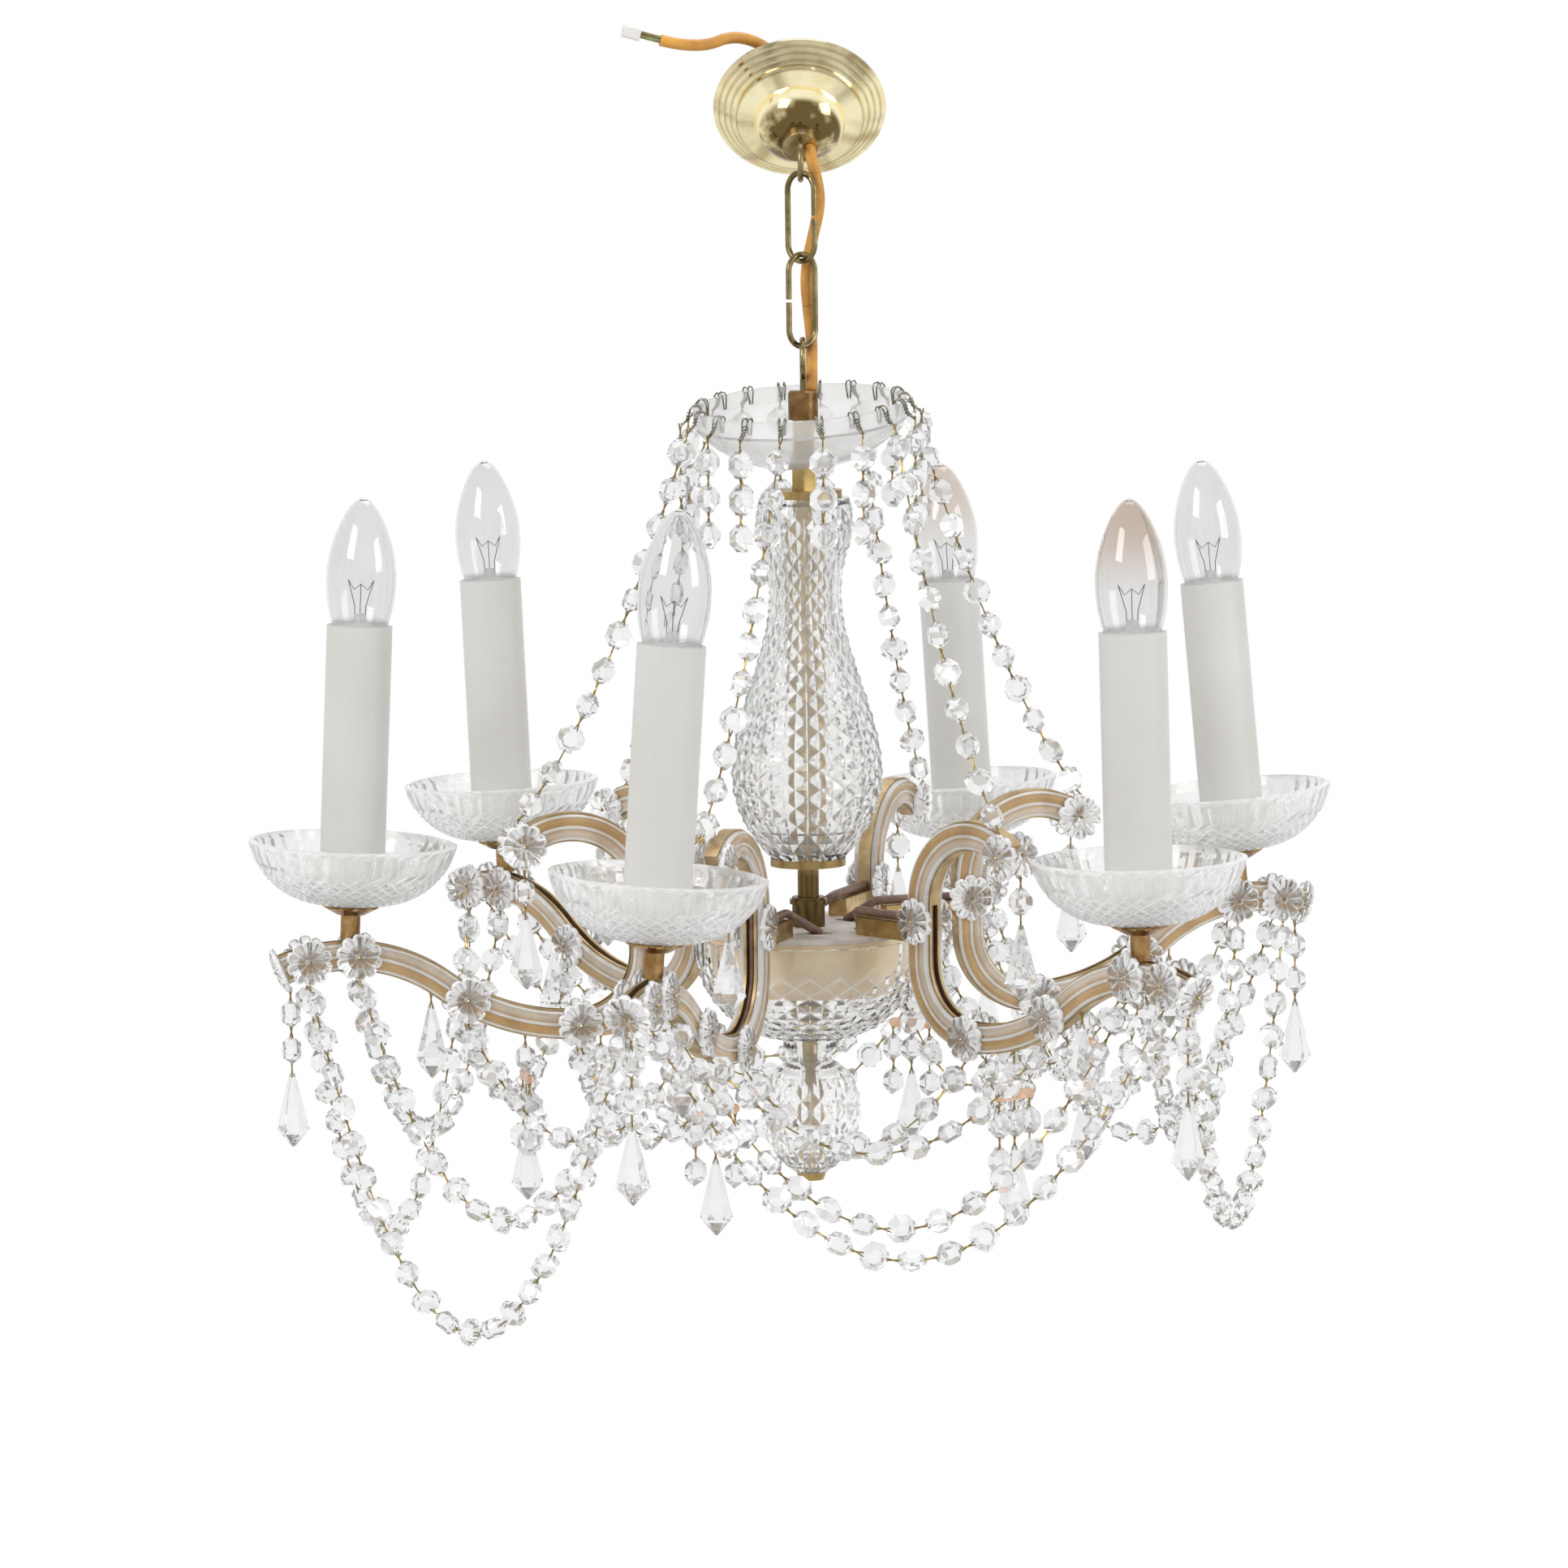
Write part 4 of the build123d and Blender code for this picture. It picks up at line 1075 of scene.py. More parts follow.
@dataclass
class Flex:
    """The orange flex: a tail above the canopy and a drop beside the chain."""

    radius: float = 3.0
    tail: tuple[Point, ...] = (
        (4.9, 14.805, 11.989), (4.9, 34.234, 27.722), (-9.0, 33.0, 54.0),
        (-31.0, 21.0, 66.0), (-52.0, 14.0, 57.5), (-71.0, 11.0, 62.5),
    )
    drop: tuple[Point, ...] = (
        (4.9, 14.805, 11.989), (4.9, 7.422, 6.01), (6.4, 3.2, -2.0), (9.0, 1.6, -12.5),
        (9.6, 2.2, -22.5), (6.6, 5.2, -36.0), (3.2, 9.6, -49.5), (2.0, 10.6, -62.0),
        (3.2, 10.8, -75.0), (5.0, 10.4, -92.0), (4.6, 0.0, -104.0), (4.6, 0.0, -116.75),
    )
    cuts: tuple[float, ...] = (0.0, 0.17, 0.36, 0.68, 1.0)
    stretches: tuple[str, ...] = ("neck", "upper", "middle", "lower")
    bodies: tuple[str, ...] = ("canopy", "hanger", "link_upper", "link_lower", "chandelier")

    def line(self, route: Sequence[Point]) -> list[Vector]:
        """Points along the smooth line of a route.

        Args:
            route: The route's points in mm.

        Returns:
            Points read from its spline, in metres.
        """
        knots = [Vector(point) * MM for point in route]
        mesh = curve_mesh("NURBS", knots, order_u=3, use_endpoint_u=True)
        points = [vert.co.copy() for vert in mesh.vertices]
        bpy.data.meshes.remove(mesh)
        return points

    def run(self, name: str, points: Sequence[Vector]) -> Object:
        """A stretch of flex.

        Args:
            name: The piece's name.
            points: Its line.

        Returns:
            The new piece.
        """
        bm = bmesh.new()
        bm.from_mesh(tube(points, self.radius * MM))
        bmesh.ops.remove_doubles(bm, verts=bm.verts, dist=MERGE)
        obj = piece(name, face_out(bm), ORANGE_FLEX, "orange_flex")
        smooth(obj)
        return obj

    def build(self) -> None:
        width = 2 * self.radius * MM
        points = self.line(self.tail)
        tail = self.run("flex_tail", points)
        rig.ride(tail, "canopy")
        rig.replaces(tail, "cord_tail")
        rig.cord(
            tail, points[0], length(points), width, "bare", "medium", "loose", points,
            [frame["nodes"]["cord_cores"], frame["nodes"]["terminal_block"]],
        )
        points = self.line(self.drop)
        reach = np.cumsum([0.0, *((b - a).length for a, b in pairwise(points))])
        runs: list[tuple[Object, list[Vector]]] = []
        for number, node in enumerate(self.stretches):
            low, high = (cut * reach[-1] for cut in self.cuts[number : number + 2])
            inside = [p for p, r in zip(points, reach) if low - ROUNDING <= r <= high + ROUNDING]
            if runs:
                inside.insert(0, runs[-1][1][-1])
            stretch = self.run(f"flex_{node}", inside)
            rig.blend(stretch, *self.bodies[number : number + 2], start=inside[0], end=inside[-1])
            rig.replaces(stretch, f"cord_{node}")
            runs.append((stretch, inside))
        neck, upper, middle, lower = runs
        for (stretch, line), others in ((lower, []), (middle, [upper[0], neck[0]])):
            back = line[::-1]
            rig.cord(
                stretch, back[0], length(back), width, "object", "medium", "hanging", back, others
            )


@dataclass
class Hanging:
    """Ring, chain, canopy and what goes with the flex."""

    chain: tuple[str, ...] = ("hanging_ring", "chain_link_upper", "chain_link_lower", "stem_eye")

    def build(self) -> None:
        """Give the kept solids their finishes."""
        dress(AGED_BRASS, *self.chain)
        dress(CAP_BRASS, "stem_cap")
        dress(POLISHED_BRASS, "canopy_dish")
        dress(COLLAR_BRASS, "canopy_collar", "cord_grommet")
        dress(CORE_PLASTIC, "cord_cores")
        dress(WHITE_PLASTIC, "terminal_block")


@dataclass
class Stem:
    """Central stem with its crown dish, cut column, hub, bowl and finial."""

    column_top: float = -171.75
    column_rows: tuple[Row, ...] = (
        (23.0, 0.0), (25.6, 7.8), (25.8, 15.9), (23.9, 23.9), (21.4, 31.7), (19.6, 39.7),
        (19.0, 47.8), (19.3, 56.0), (20.4, 64.1), (22.1, 72.1), (24.2, 80.0), (26.6, 87.9),
        (29.1, 95.7), (31.7, 103.5), (34.1, 111.3), (36.3, 119.2), (38.1, 127.2), (39.2, 135.3),
        (39.6, 143.5), (38.9, 151.6), (37.0, 159.6), (33.9, 167.2), (29.8, 174.2), (24.7, 180.7),
        (19.0, 186.5),
    )
    column_wall: float = 4.0
    column_bore: float = 6.3
    column_pitch: float = 4.9
    column_plain: Row = (6.0, 2.0)
    column_inside: int = 16
    column_sides: int = 36
    column_depth: float = 1.5
    bowl_bottom: float = -450.95
    bowl_rows: tuple[Row, ...] = (
        (5.75, 1.75), (25.0, 1.75), (31.7, 4.5), (37.8, 8.2), (43.4, 12.8), (48.2, 18.2),
        (52.2, 24.2), (55.3, 30.7), (57.3, 37.6), (58.3, 44.8), (58.2, 52.0),
    )
    bowl_wall: float = 3.5
    bowl_steps: int = 18
    bowl_plain: float = 20.0
    bowl_cut_to: float = 41.0
    bowl_sides: int = 48
    bowl_depth: float = 1.3
    finial_top: float = -452.45
    finial_neck: tuple[Row, ...] = (
        (13.2, 0.0), (14.0, 0.8), (14.0, 4.4), (13.4, 5.2), (11.4, 7.6), (11.4, 9.8),
    )
    finial_ball: float = 11.8
    finial_rows: tuple[Row, ...] = (
        (11.4, 0.0), (16.5, 3.2), (20.7, 7.3), (23.8, 12.4), (25.6, 18.1), (26.2, 24.0),
        (26.1, 30.0), (25.3, 35.9), (23.7, 41.7), (21.1, 47.0), (17.5, 51.8), (13.0, 55.8),
        (8.0, 59.0),
    )
    finial_plain: int = 2
    finial_sides: int = 32
    finial_depth: float = 1.2
    rod: float = 4.25
    crown_foot: float = -154.63
    crown_normal: Point = (-0.0523, -0.1305, 1.0)
    clips: int = 18
    clip_line: tuple[Row, ...] = (
        (51.0, 25.0), (50.9, 31.8), (52.0, 33.6), (54.8, 33.8), (56.6, 31.8), (57.6, 27.6),
        (59.4, 25.6), (61.9, 23.8),
    )
    clip_wire: float = 0.42
    clip_splay: Row = (0.7, 2.2)
    clip_bend: float = 31.0
    coil: tuple[Row, ...] = ((56.9, 30.4), (57.4, 28.8), (57.9, 27.2), (59.0, 26.0))
    coil_wire: float = 0.34
    coil_reach: Point = (0.9, 1.5, 0.35)
    coil_points: int = 9
    nut_sizes: tuple[tuple[int, Row, Row], ...] = (
        (6, (-156.25, -167.75), (6.9, 6.9)),
        (32, (-523.25, -527.25), (6.5, 8.0)),
    )

    def clip_wires(self) -> BMesh:
        """Two bent wires for each clip on the crown's rim, bound by a few turns.

        Returns:
            All the wires.
        """
        up = Vector(self.crown_normal).normalized()
        foot = Vector((0.0, 0.0, self.crown_foot * MM))
        crown = upright(foot, up, Vector((1.0, 0.0, 0.0)))
        near, wider = self.clip_splay
        runs = []
        for side in (-near, near):
            splays = [side * (wider if z > self.clip_bend else 1.0) for _, z in self.clip_line]
            line = [(r, splay, z) for (r, z), splay in zip(self.clip_line, splays)]
            runs.append(wire(line, self.clip_wire))
        out, across, rise = self.coil_reach
        circle = [(math.cos(a), math.sin(a)) for a in np.linspace(0, math.tau, self.coil_points)]
        for r, z in self.coil:
            ring = [(r + out * c, across * s, z + rise * s) for c, s in circle]
            runs.append(wire(ring, self.coil_wire))
        angles = [math.tau * number / self.clips for number in range(self.clips)]
        return face_out(gather([crown @ Matrix.Rotation(a, 4, "Z") for a in angles], *runs))

    def nuts(self) -> BMesh:
        """The six-sided nut under the crown and the round one under the finial.

        Returns:
            Both nuts.
        """
        bm = bmesh.new()
        for sides, (top, foot), (foot_radius, top_radius) in self.nut_sizes:
            place = Matrix.Translation((0.0, 0.0, (top + foot) / 2 * MM))
            cone(bm, sides, (foot_radius * MM, top_radius * MM), (top - foot) * MM, place)
        return bm

    def column(self) -> BMesh:
        """The diamond-cut column.

        Returns:
            Its shape.
        """
        radii, drops = zip(*self.column_rows)
        end, wall, bore = drops[-1], self.column_wall, self.column_bore
        count = round(end / self.column_pitch)
        above, below = self.column_plain
        rows: list[CutRow] = []
        for drop in (end * step / count for step in range(count + 1)):
            cut = Cut.DIAMOND if above < drop < end - below else Cut.PLAIN
            rows += raised([(float(np.interp(drop, drops, radii)), -drop)], self.column_top, cut)
        inside = np.linspace(end - wall, wall, self.column_inside)
        hollow = [(float(np.interp(drop, drops, radii)) - wall, -float(drop)) for drop in inside]
        line = [(bore, -end), (bore, wall - end), *hollow, (bore, -wall), (bore, 0.0)]
        rows += raised(line, self.column_top)
        return turned(rows, self.column_sides, self.column_depth)

    def bowl(self) -> BMesh:
        """The bowl under the hub, cut in its lower half.

        Returns:
            Its shape.
        """
        outside, inside = walls(self.bowl_rows, self.bowl_wall)
        rows: list[CutRow] = []
        for (r, z), _ in spaced(outside, self.bowl_steps):
            cut = Cut.DIAMOND if r > self.bowl_plain and z < self.bowl_cut_to else Cut.PLAIN
            rows += raised([(r, z)], self.bowl_bottom, cut)
        rows += raised(reversed(inside), self.bowl_bottom)
        return turned(rows, self.bowl_sides, self.bowl_depth)

    def finial(self) -> BMesh:
        """The cut ball under the bowl.

        Returns:
            Its shape.
        """
        ball = self.finial_top - self.finial_ball
        rows = raised([(self.rod, 0.0)], self.finial_top)
        rows += raised([(radius, -drop) for radius, drop in self.finial_neck], self.finial_top)
        last = len(self.finial_rows) - 1
        for number, (radius, drop) in enumerate(self.finial_rows):
            cut = Cut.DIAMOND if self.finial_plain < number < last else Cut.PLAIN
            rows += raised([(radius, -drop)], ball, cut)
        rows += raised([(self.rod, -self.finial_rows[-1][1])], ball)
        return turned(rows, self.finial_sides, self.finial_depth)

    def build(self) -> None:
        """Make the cut pieces, the nuts and the clips, and finish the kept solids."""
        for name, bm, finish, slot, node in (
            ("cut_column", self.column(), CUT_GLASS, "cut_glass", "column_glass"),
            ("cut_bowl", self.bowl(), BOWL_GLASS, "cut_glass", "hub_bowl"),
            ("cut_finial", self.finial(), CUT_GLASS, "cut_glass", "finial_ball"),
            ("nuts", self.nuts(), STEM_BRASS, "aged_brass", "stem_nuts"),
            ("clip_wires", self.clip_wires(), STEEL_WIRE, "steel_wire", "crown_clips"),
        ):
            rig.replaces(piece(name, bm, finish, slot, "chandelier"), node)
        dress(STEM_BRASS, "central_stem", "stem_coupling")
        dress(DISC_BRASS, "column_discs")
        dress(PLAIN_GLASS, "crown_dish")
        dress(GREY_PAINT, "hub_plate")
        dress(DRUM_GILT, "hub_drum")
        dress(DARK_METAL, "bowl_washer")


@dataclass
class Arms:
    """The six arms with their glass strips and rosettes."""

    azimuths: tuple[float, ...] = (192.1, 251.5, 312.3, 17.2, 68.1, 133.6)
    offsets: tuple[float, ...] = (-3.4, 0.8, -0.3, 4.7, -5.2, 2.0)
    plate_top: float = -394.25
    riser: float = 87.0
    candle: float = 239.5
    half_width: float = 3.5
    half_height: float = 7.5
    scroll: tuple[float, float, float] = (38.0, 19.6, 38.0)
    scroll_open: float = 51.0
    riser_run: float = 28.4
    foot: Row = (36.0, -8.8)
    belly: tuple[float, float, float] = (36.0, 65.141, 109.941)
    belly_turn: float = 38.8
    crest: tuple[float, float, float] = (157.9, -86.472, 84.6)
    crest_past: float = 20.5
    sweeps: tuple[int, int, int, int] = (26, 16, 14, 16)
    # Rows of the strip's section, each an offset across, a rise and a paleness; the pale rows are painted highlights
    # along the ridge and the edges.
    strip: tuple[tuple[float, float, float], ...] = (
        (-6.5, 0.05, 1.0), (-6.5, 1.8, 1.0), (-6.0, 2.6, 1.0), (-5.4, 2.7, 1.0), (-5.1, 2.3, 0.45),
        (-3.2, 2.6, 0.55), (-1.0, 2.2, 0.1), (-0.7, 2.7, 1.0), (-0.3, 3.0, 1.0), (0.3, 3.0, 1.0),
        (0.7, 2.7, 1.0), (1.0, 2.2, 0.0), (3.2, 2.6, 0.0), (5.1, 2.3, 0.0), (5.4, 2.7, 1.0),
        (6.0, 2.6, 1.0), (6.5, 1.8, 1.0), (6.5, 0.05, 1.0),
    )
    strip_rise: float = 3.0
    mid_x: float = 94.0
    tip_gap: float = 0.3
    rosette_radius: float = 12.0
    rosette_base: float = 1.2
    rosette_drop: float = 0.7
    insets: tuple[float, ...] = (0.8, 0.6, 3.4, 3.4, 1.2)
    petals: int = 10
    petal_steps: int = 6
    petal_swell: float = 1.6
    petal_rise: Row = (1.0, 1.9)
    petal_crown: float = 0.8
    petal_edge: float = 0.2
    petal_span: float = 0.99
    petal_low: float = 0.45
    petal_notch: float = 0.16
    outline: float = 3.2
    outline_rim: float = 0.92
    pin: Row = (1.2, 3.4)

    def place(self, index: int) -> Matrix:
        """The frame of one arm, x outward and y up.

        Args:
            index: The arm, from nought.

        Returns:
            Its matrix, in metres.
        """
        azimuth = math.radians(self.azimuths[index])
        x, y = math.cos(azimuth), math.sin(azimuth)
        pitch = self.offsets[index] / (self.candle - self.riser)
        out = Vector((x, y, pitch)).normalized()
        side = Vector((y, -x, 0.0))
        origin = Vector((x * self.riser, y * self.riser, self.plate_top)) * MM
        turn = Matrix((out, side.cross(out), side)).transposed().to_4x4()
        return Matrix.Translation(origin) @ turn

    def along(self, x: float) -> Row:
        """A point of an arm's middle line between its foot and its end.

        Args:
            x: Distance out from the riser.

        Returns:
            The point in the arm's frame.
        """
        middle, level, radius = self.belly
        if x < middle + radius * math.sin(math.radians(self.belly_turn)):
            return x, level - math.sqrt(radius**2 - (x - middle) ** 2)
        middle, level, radius = self.crest
        return x, level + math.sqrt(radius**2 - (x - middle) ** 2)

    def swing(self, bm: BMesh, geom: list, about: Row, angle: float, steps: int) -> list:
        """Sweep a section round a point of the arm's plane.

        Args:
            bm: The mesh in work.
            geom: The section.
            about: The point, in mm.
            angle: Degrees to turn.
            steps: Steps of the turn.

        Returns:
            The section at the far end.
        """
        turn = {"axis": (0, 0, 1), "angle": math.radians(angle), "steps": steps}
        centre = (about[0] * MM, about[1] * MM, 0.0)
        result = bmesh.ops.spin(bm, geom=geom, cent=centre, use_merge=False, **turn)
        return result["geom_last"]

    def strip_shape(self, side: int) -> Mesh:
        """A ridged glass strip along one side of an arm.

        Args:
            side: One or minus one.

        Returns:
            The strip in the arm's frame.
        """
        bm = bmesh.new()
        pale = bm.verts.layers.float.new("pale")
        x, y, radius = self.scroll
        turn = math.radians(self.scroll_open)
        verts = []
        for across, proud, white in self.strip:
            reach = radius + across
            level = side * (self.half_width + proud)
            spot = (x + reach * math.cos(turn), y + reach * math.sin(turn), level)
            vert = bm.verts.new(Vector(spot) * MM)
            vert[pale] = white
            verts.append(vert)
        edges = [bm.edges.new(pair) for pair in pairwise([*verts, verts[0]])]
        section = verts + edges + [bm.faces.new(verts)]
        scroll, foot, belly, crest = self.sweeps
        end = self.swing(bm, section, (x, y), 180 - self.scroll_open, scroll)
        riser = bmesh.ops.extrude_face_region(bm, geom=of_kind(end, BMFace))["geom"]
        down = (0.0, -self.riser_run * MM, 0.0)
        bmesh.ops.translate(bm, vec=down, verts=of_kind(riser, BMVert))
        end = self.swing(bm, riser, self.foot, 90.0, foot)
        end = self.swing(bm, end, self.belly[:2], self.belly_turn, belly)
        self.swing(bm, end, self.crest[:2], -self.belly_turn - self.crest_past, crest)
        bmesh.ops.remove_doubles(bm, verts=bm.verts, dist=MERGE)
        return stored(face_out(bm))

    def rosette_shape(self) -> Mesh:
        """A flower of clear rounded petals with pale outlines.

        Returns:
            The flower, its back on z nought.
        """
        bm = bmesh.new()
        pale = bm.verts.layers.float.new("pale")
        radius = self.rosette_radius * MM
        sides = self.petal_steps * self.petals
        bmesh.ops.create_circle(bm, cap_ends=True, segments=sides, radius=radius)
        top = bmesh.ops.extrude_face_region(bm, geom=bm.faces[:])["geom"]
        lift = (0, 0, self.rosette_base * MM)
        bmesh.ops.translate(bm, vec=lift, verts=of_kind(top, BMVert))
        faces = of_kind(top, BMFace)
        for width in self.insets:
            bmesh.ops.inset_individual(bm, faces=faces, thickness=width * MM)
        base, bulge = self.petal_rise
        for vert in bm.verts:
            share = math.hypot(vert.co.x, vert.co.y) / radius
            turn = math.atan2(vert.co.y, vert.co.x) / math.tau * self.petals
            away = abs(turn - round(turn)) * 2
            swell = math.sin(math.pi / 2 * min(away * self.petal_swell, 1.0))
            if vert.co.z > self.rosette_base / 2 * MM:
                rise = self.petal_edge
                if share < self.petal_span:
                    rise = base + bulge * math.sin(math.pi * share**self.petal_crown)
                vert.co.z += rise * (self.petal_low + (1.0 - self.petal_low) * swell) * MM
                rim = 1.0 if share > self.outline_rim else 0.0
                vert[pale] = max(1.0 - self.outline * away, rim)
            vert.co.xy *= 1 - self.petal_notch * (1 - swell) * min(share, 1.0) ** 2
        return stored(face_out(bm))

    def rosettes(self) -> list[Matrix]:
        """Where each rosette sits.

        Returns:
            A matrix for each.
        """
        x, y, radius = self.scroll
        turn = math.radians(self.scroll_open)
        tip_x = self.crest[0] + self.crest[2] * math.sin(math.radians(self.crest_past))
        corner = self.rosette_radius / math.cos(math.pi / self.petals)
        places = (
            (x + radius * math.cos(turn), y + radius * math.sin(turn)),
            (0.0, y - self.rosette_radius * self.rosette_drop),
            self.along(self.foot[0]),
            self.along(self.mid_x),
            self.along(tip_x - 3 * corner - 2 * self.tip_gap),
            self.along(tip_x - corner - self.tip_gap),
        )
        face = self.half_width + self.strip_rise
        flip = Matrix.Rotation(math.pi, 4, "X")
        spots = []
        for px, py in places:
            spots.append(Matrix.Translation(Vector((px, py, face)) * MM))
            spots.append(Matrix.Translation(Vector((px, py, -face)) * MM) @ flip)
        end = Matrix.Translation(Vector((*self.along(tip_x), 0.0)) * MM)
        down = Matrix.Rotation(math.radians(-self.crest_past), 4, "Z")
        out = Matrix.Translation((self.tip_gap * MM, 0.0, 0.0))
        spots.append(end @ down @ out @ Matrix.Rotation(math.pi / 2, 4, "Y"))
        return [self.place(index) @ spot for index in range(len(self.azimuths)) for spot in spots]

    def build(self) -> None:
        """Make the strips and the rosettes, and finish the kept solids."""
        arms = range(len(self.azimuths))
        shapes = [self.strip_shape(side) for side in (1, -1)]
        strips = gather([self.place(index) for index in arms], *shapes)
        obj = piece("glass_strips", strips, STRIP_GLASS, "strip_glass", "chandelier")
        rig.replaces(obj, "arm_glass")
        places = self.rosettes()
        flowers = gather(places, self.rosette_shape())
        obj = piece("flowers", flowers, FLOWER_GLASS, "crystal", "chandelier")
        smooth(obj)
        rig.replaces(obj, "rosettes")
        pins = bmesh.new()
        radius, height = self.pin
        lift = Matrix.Translation((0.0, 0.0, height * MM))
        for place in places:
            ball = {"subdivisions": 1, "radius": radius * MM, "matrix": place @ lift}
            bmesh.ops.create_icosphere(pins, **ball)
        piece("flower_pins", pins, PIN, "gold_wire", "chandelier")
        dress(GILT, *(f"arm_{index + 1}" for index in arms))
        dress(BRACKET_BRASS, "arm_brackets")
        dress(BROWN_WIRE, "arm_wires")


@dataclass
class Candles:
    """The six candles with their pans, sleeves and bulbs."""

    arms: Arms
    leans: tuple[float, ...] = (2.9, 4.0, -1.2, -4.9, -3.2, -2.1)
    seat_gap: float = 0.6
    pan_level: float = 18.6
    pan_rows: tuple[Row, ...] = (
        (5.25, 1.5), (15.0, 1.5), (20.7, 1.9), (26.3, 3.2), (31.6, 5.3), (36.5, 8.2),
        (40.9, 11.9), (44.7, 16.1), (47.8, 20.9), (50.2, 26.1), (51.7, 31.6),
    )
    pan_wall: float = 3.0
    pan_steps: int = 21
    pan_plain: float = 18.0
    pan_cut_to: float = 19.0
    pan_rim: float = 1.0
    pan_sides: int = 72
    pan_depth: float = 1.3
    sleeve_top: float = 160.9
    bulb_rows: tuple[Row, ...] = (
        (11.0, -24.0), (11.0, -14.0), (12.0, -8.0), (13.1, -3.0), (13.7, 0.0), (15.1, 5.0),
        (16.3, 11.0), (17.0, 17.0), (17.2, 22.0), (17.1, 28.0), (16.5, 33.0), (15.5, 38.0),
        (14.0, 43.4), (12.1, 48.7), (9.8, 53.9), (7.5, 58.0), (5.4, 60.9), (3.2, 63.0),
        (1.4, 64.0), (0.0, 64.2),
    )
    bulb_wall: float = 0.8
    bulb_neck: float = 1.0
    bulb_sides: int = 48
    browned: dict[int, Color] = field(
        default_factory=lambda: {3: (0.74, 0.67, 0.61), 5: (0.8, 0.74, 0.69)}
    )
    brown_span: Row = (0.05, 0.01)
    rim: tuple[Row, ...] = ((14.25, -2.0), (15.05, -2.0), (15.05, -0.2), (14.25, -0.2))
    rim_sides: int = 40
    mount: tuple[Row, ...] = (
        (0.0, -1.6), (12.4, -1.6), (12.4, -0.6), (5.5, 0.2), (3.6, 1.6), (3.2, 4.5), (2.6, 6.0),
        (0.0, 6.4),
    )
    mount_sides: int = 32
    filament_foot: float = -6.0
    filament_wire: float = 0.22
    filament_lines: tuple[tuple[Point, ...], ...] = (
        ((-2.5, 0.0, 0.0), (-2.8, 0.0, 16.0), (-6.5, 0.0, 29.0)),
        ((2.5, 0.0, 0.0), (2.8, 0.0, 16.0), (6.5, 0.0, 29.0)),
        (
            (-6.5, 0.0, 29.0), (-3.5, 1.2, 24.0), (0.0, -0.6, 27.0), (3.5, 1.2, 24.0),
            (6.5, 0.0, 29.0),
        ),
        ((0.0, 0.0, 2.0), (0.0, 0.0, 16.0), (0.0, -0.6, 27.0)),
    )

    def place(self, index: int) -> Matrix:
        """The frame at the foot of one candle, z along it.

        Args:
            index: The candle, from nought.

        Returns:
            Its matrix, in metres.
        """
        arms = self.arms
        seat = arms.candle - arms.riser
        x, y, radius = arms.crest
        top = y + math.sqrt((radius + arms.half_height) ** 2 - (seat - x) ** 2) + self.seat_gap
        foot = arms.place(index) @ (Vector((seat, top, 0.0)) * MM)
        up = Vector((math.tan(math.radians(self.leans[index])), 0.0, 1.0)).normalized()
        azimuth = math.radians(arms.azimuths[index])
        return upright(foot, up, Vector((math.cos(azimuth), math.sin(azimuth), 0.0)))

    def pan_shape(self) -> Mesh:
        """A drip pan, cut below and fluted above.

        Returns:
            The pan in its candle's frame.
        """
        outside, inside = walls(self.pan_rows, self.pan_wall)
        rows: list[CutRow] = []
        for (r, z), left in spaced(outside, self.pan_steps):
            cut = Cut.FLUTE if left > self.pan_rim else Cut.RIM
            if z < self.pan_cut_to:
                cut = Cut.DIAMOND if r > self.pan_plain else Cut.PLAIN
            rows += raised([(r, z)], self.pan_level, cut)
        rows += raised(inside[-1:], self.pan_level, Cut.RIM)
        rows += raised(reversed(inside[:-1]), self.pan_level)
        return stored(turned(rows, self.pan_sides, self.pan_depth))

    def bulb_shape(self) -> Mesh:
        """A thin candle bulb.

        Returns:
            The bulb in its candle's frame.
        """
        outside, inside = walls(self.bulb_rows, self.bulb_wall)
        half = self.bulb_wall / 2
        tip = [(0.0, outside[-1][1] + half), (0.0, inside[-1][1] - half)]
        rows: list[CutRow] = []
        for r, z in [*outside[:-1], *tip, *inside[-2::-1]]:
            cut = Cut.RIM if z < self.bulb_neck else Cut.PLAIN
            rows += raised([(r, z)], self.sleeve_top, cut)
        return stored(turned(rows, self.bulb_sides))

    def bulb_glass(self, number: int, place: Matrix) -> Glass:
        """The glass of one bulb, browned at the tip where it is old.

        Args:
            number: The bulb, from one.
            place: Its candle's frame.

        Returns:
            The finish.
        """
        top = (place @ Vector((0.0, 0.0, (self.sleeve_top + self.bulb_rows[-1][1]) * MM))).z
        low, high = self.brown_span
        name, tip = f"bulb_glass_{number}", self.browned.get(number)
        return replace(BULB_GLASS, name=name, tip=tip, tip_span=(top - low, top - high))

    def filament(self, index: int, place: Matrix) -> BMesh:
        """The wires inside one bulb, turned to the front.

        Args:
            index: The candle, from nought.
            place: Its frame.

        Returns:
            The wires.
        """
        front = place @ Matrix.Rotation(-math.radians(self.arms.azimuths[index]), 4, "Z")
        low = self.sleeve_top + self.filament_foot
        lines = [[(x, y, z + low) for x, y, z in line] for line in self.filament_lines]
        return face_out(gather([front], *(wire(line, self.filament_wire) for line in lines)))

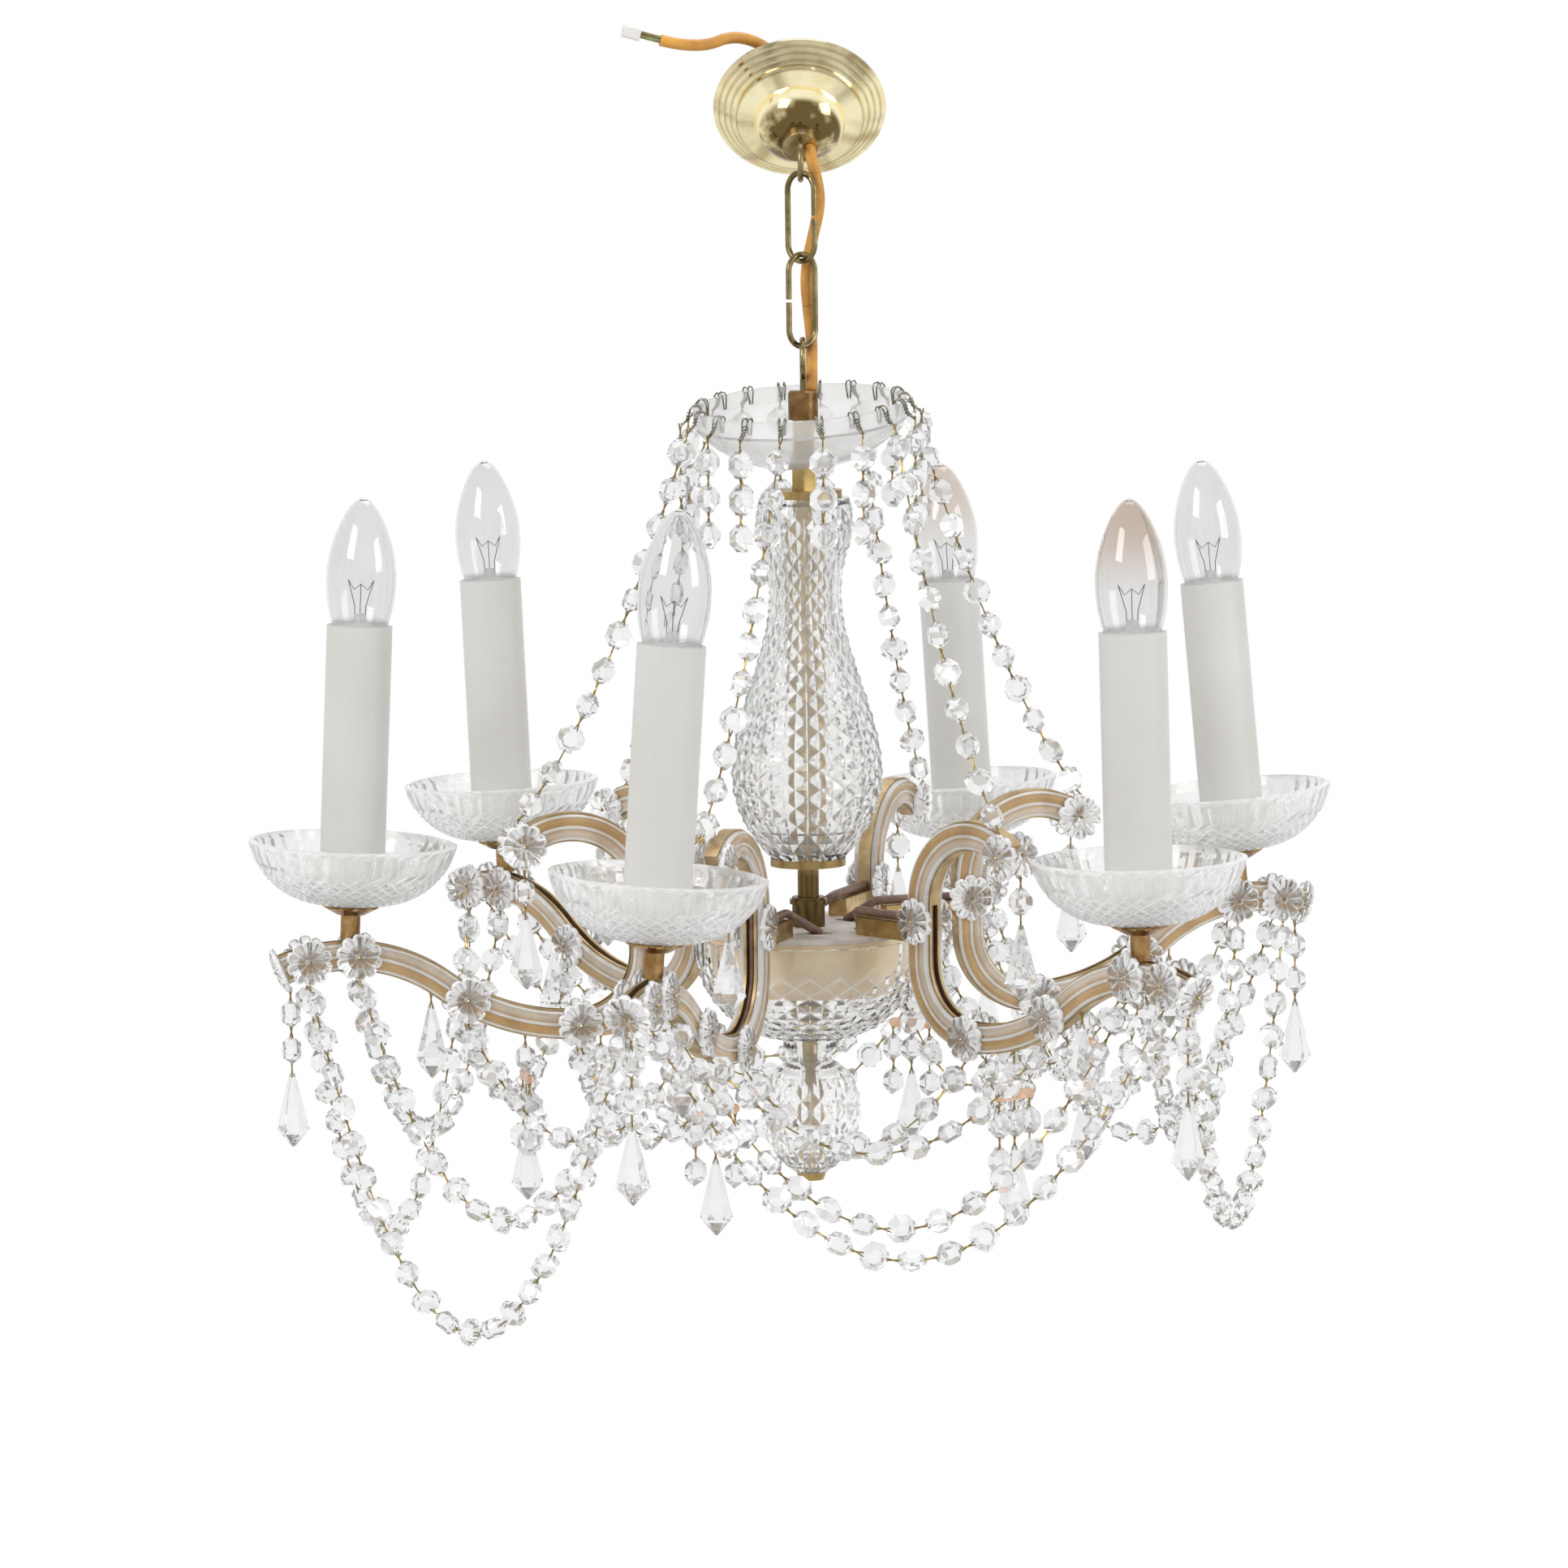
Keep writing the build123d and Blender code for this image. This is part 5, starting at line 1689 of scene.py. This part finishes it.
    def build(self) -> None:
        """Make pans, holder rims and bulbs with what is in them, and finish the kept solids."""
        places = [self.place(index) for index in range(len(self.leans))]
        pan, bulb = self.pan_shape(), self.bulb_shape()
        rim = stored(turned(raised(self.rim, self.sleeve_top), self.rim_sides))
        mount = stored(turned(raised(self.mount, self.sleeve_top), self.mount_sides))
        piece("holder_rims", gather(places, rim), WHITE_PLASTIC, "white_plastic", "chandelier")
        for index, place in enumerate(places):
            number = index + 1
            body = f"bulb_{number}"
            bm = gather([place], pan)
            obj = piece(f"cut_pan_{number}", bm, PAN_GLASS, "cut_glass", "chandelier")
            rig.replaces(obj, f"pan_{number}")
            piece(f"filament_{number}", self.filament(index, place), FILAMENT, "dark_metal", body)
            bm, glass = gather([place], bulb), self.bulb_glass(number, place)
            obj = piece(f"glass_bulb_{number}", bm, glass, "bulb_glass", body)
            smooth(obj)
            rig.replaces(obj, f"bulb_{number}")
            bm = gather([place], mount)
            smooth(piece(f"bulb_mount_{number}", bm, MOUNT_GLASS, "bulb_glass", body))
        dress(COPPER_BRASS, "nipples", "gallery_cups")
        dress(CREAM_PLASTIC, "candle_sleeves")
        dress(WHITE_PLASTIC, "lampholders")


@dataclass
class Strings:
    """Beads, drops, bars and the wire links between them."""

    wire_radius: float = 0.42
    splay: float = 1.05
    overlap: float = 2.6
    sides: int = 5
    turn: float = 1.1
    crystals: tuple[str, ...] = ("upper_beads", "outer_beads", "inner_beads", "spear_drops")

    def islands(self, node: str) -> Iterable[np.ndarray]:
        """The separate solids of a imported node.

        Args:
            node: The node's name.

        Yields:
            The points of each solid.
        """
        bm = bmesh.new()
        bm.from_mesh(frame["nodes"][node].data)
        bmesh.ops.remove_doubles(bm, verts=bm.verts, dist=MERGE)
        seen: set[int] = set()
        bm.verts.ensure_lookup_table()
        for vert in bm.verts:
            if vert.index in seen:
                continue
            group, stack = [], [vert]
            seen.add(vert.index)
            while stack:
                here = stack.pop()
                group.append(here.co[:])
                for edge in here.link_edges:
                    other = edge.other_vert(here)
                    if other.index not in seen:
                        seen.add(other.index)
                        stack.append(other)
            yield np.array(group)
        bm.free()

    def links(self) -> BMesh:
        """A pair of crossing wires for each link.

        Returns:
            All the wires.
        """
        bm = bmesh.new()
        radius = self.wire_radius * MM
        for number, points in enumerate(self.islands("string_links")):
            middle = points.mean(axis=0)
            along = Vector(np.linalg.svd(points - middle)[2][0])
            run = float(np.ptp((points - middle) @ np.array(along))) + 2 * self.overlap * MM
            turn = along.to_track_quat("Z", "Y").to_matrix().to_4x4()
            turn = turn @ Matrix.Rotation(number * self.turn, 4, "Z")
            place = Matrix.Translation(Vector(middle)) @ turn
            lean = math.atan(2 * self.splay * MM / run)
            for angle in (lean, -lean):
                crossed = place @ Matrix.Rotation(angle, 4, "X")
                cone(bm, self.sides, (radius, radius), run, crossed)
        return bm

    def build(self) -> None:
        """Make the links and finish the kept solids."""
        links = piece("wire_links", self.links(), GOLD_WIRE, "gold_wire", "chandelier")
        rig.replaces(links, "string_links")
        dress(CRYSTAL, *self.crystals)
        dress(ROSE_GOLD, "spacer_bars")


def main() -> None:
    """Build the scene in order and keep both boxes."""
    logging.basicConfig(level=logging.INFO, format="%(message)s")
    arms = Arms()
    for part in (Studio(), Flex(), Hanging(), Stem(), arms, Candles(arms), Strings()):
        part.build()
    boxes = {"cad": [list(c) for c in CAD_BOX], "visual": [list(c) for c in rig.bounds()]}
    with open("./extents.json", "w") as out:
        json.dump(boxes, out)


if __name__ == "__main__":
    main()
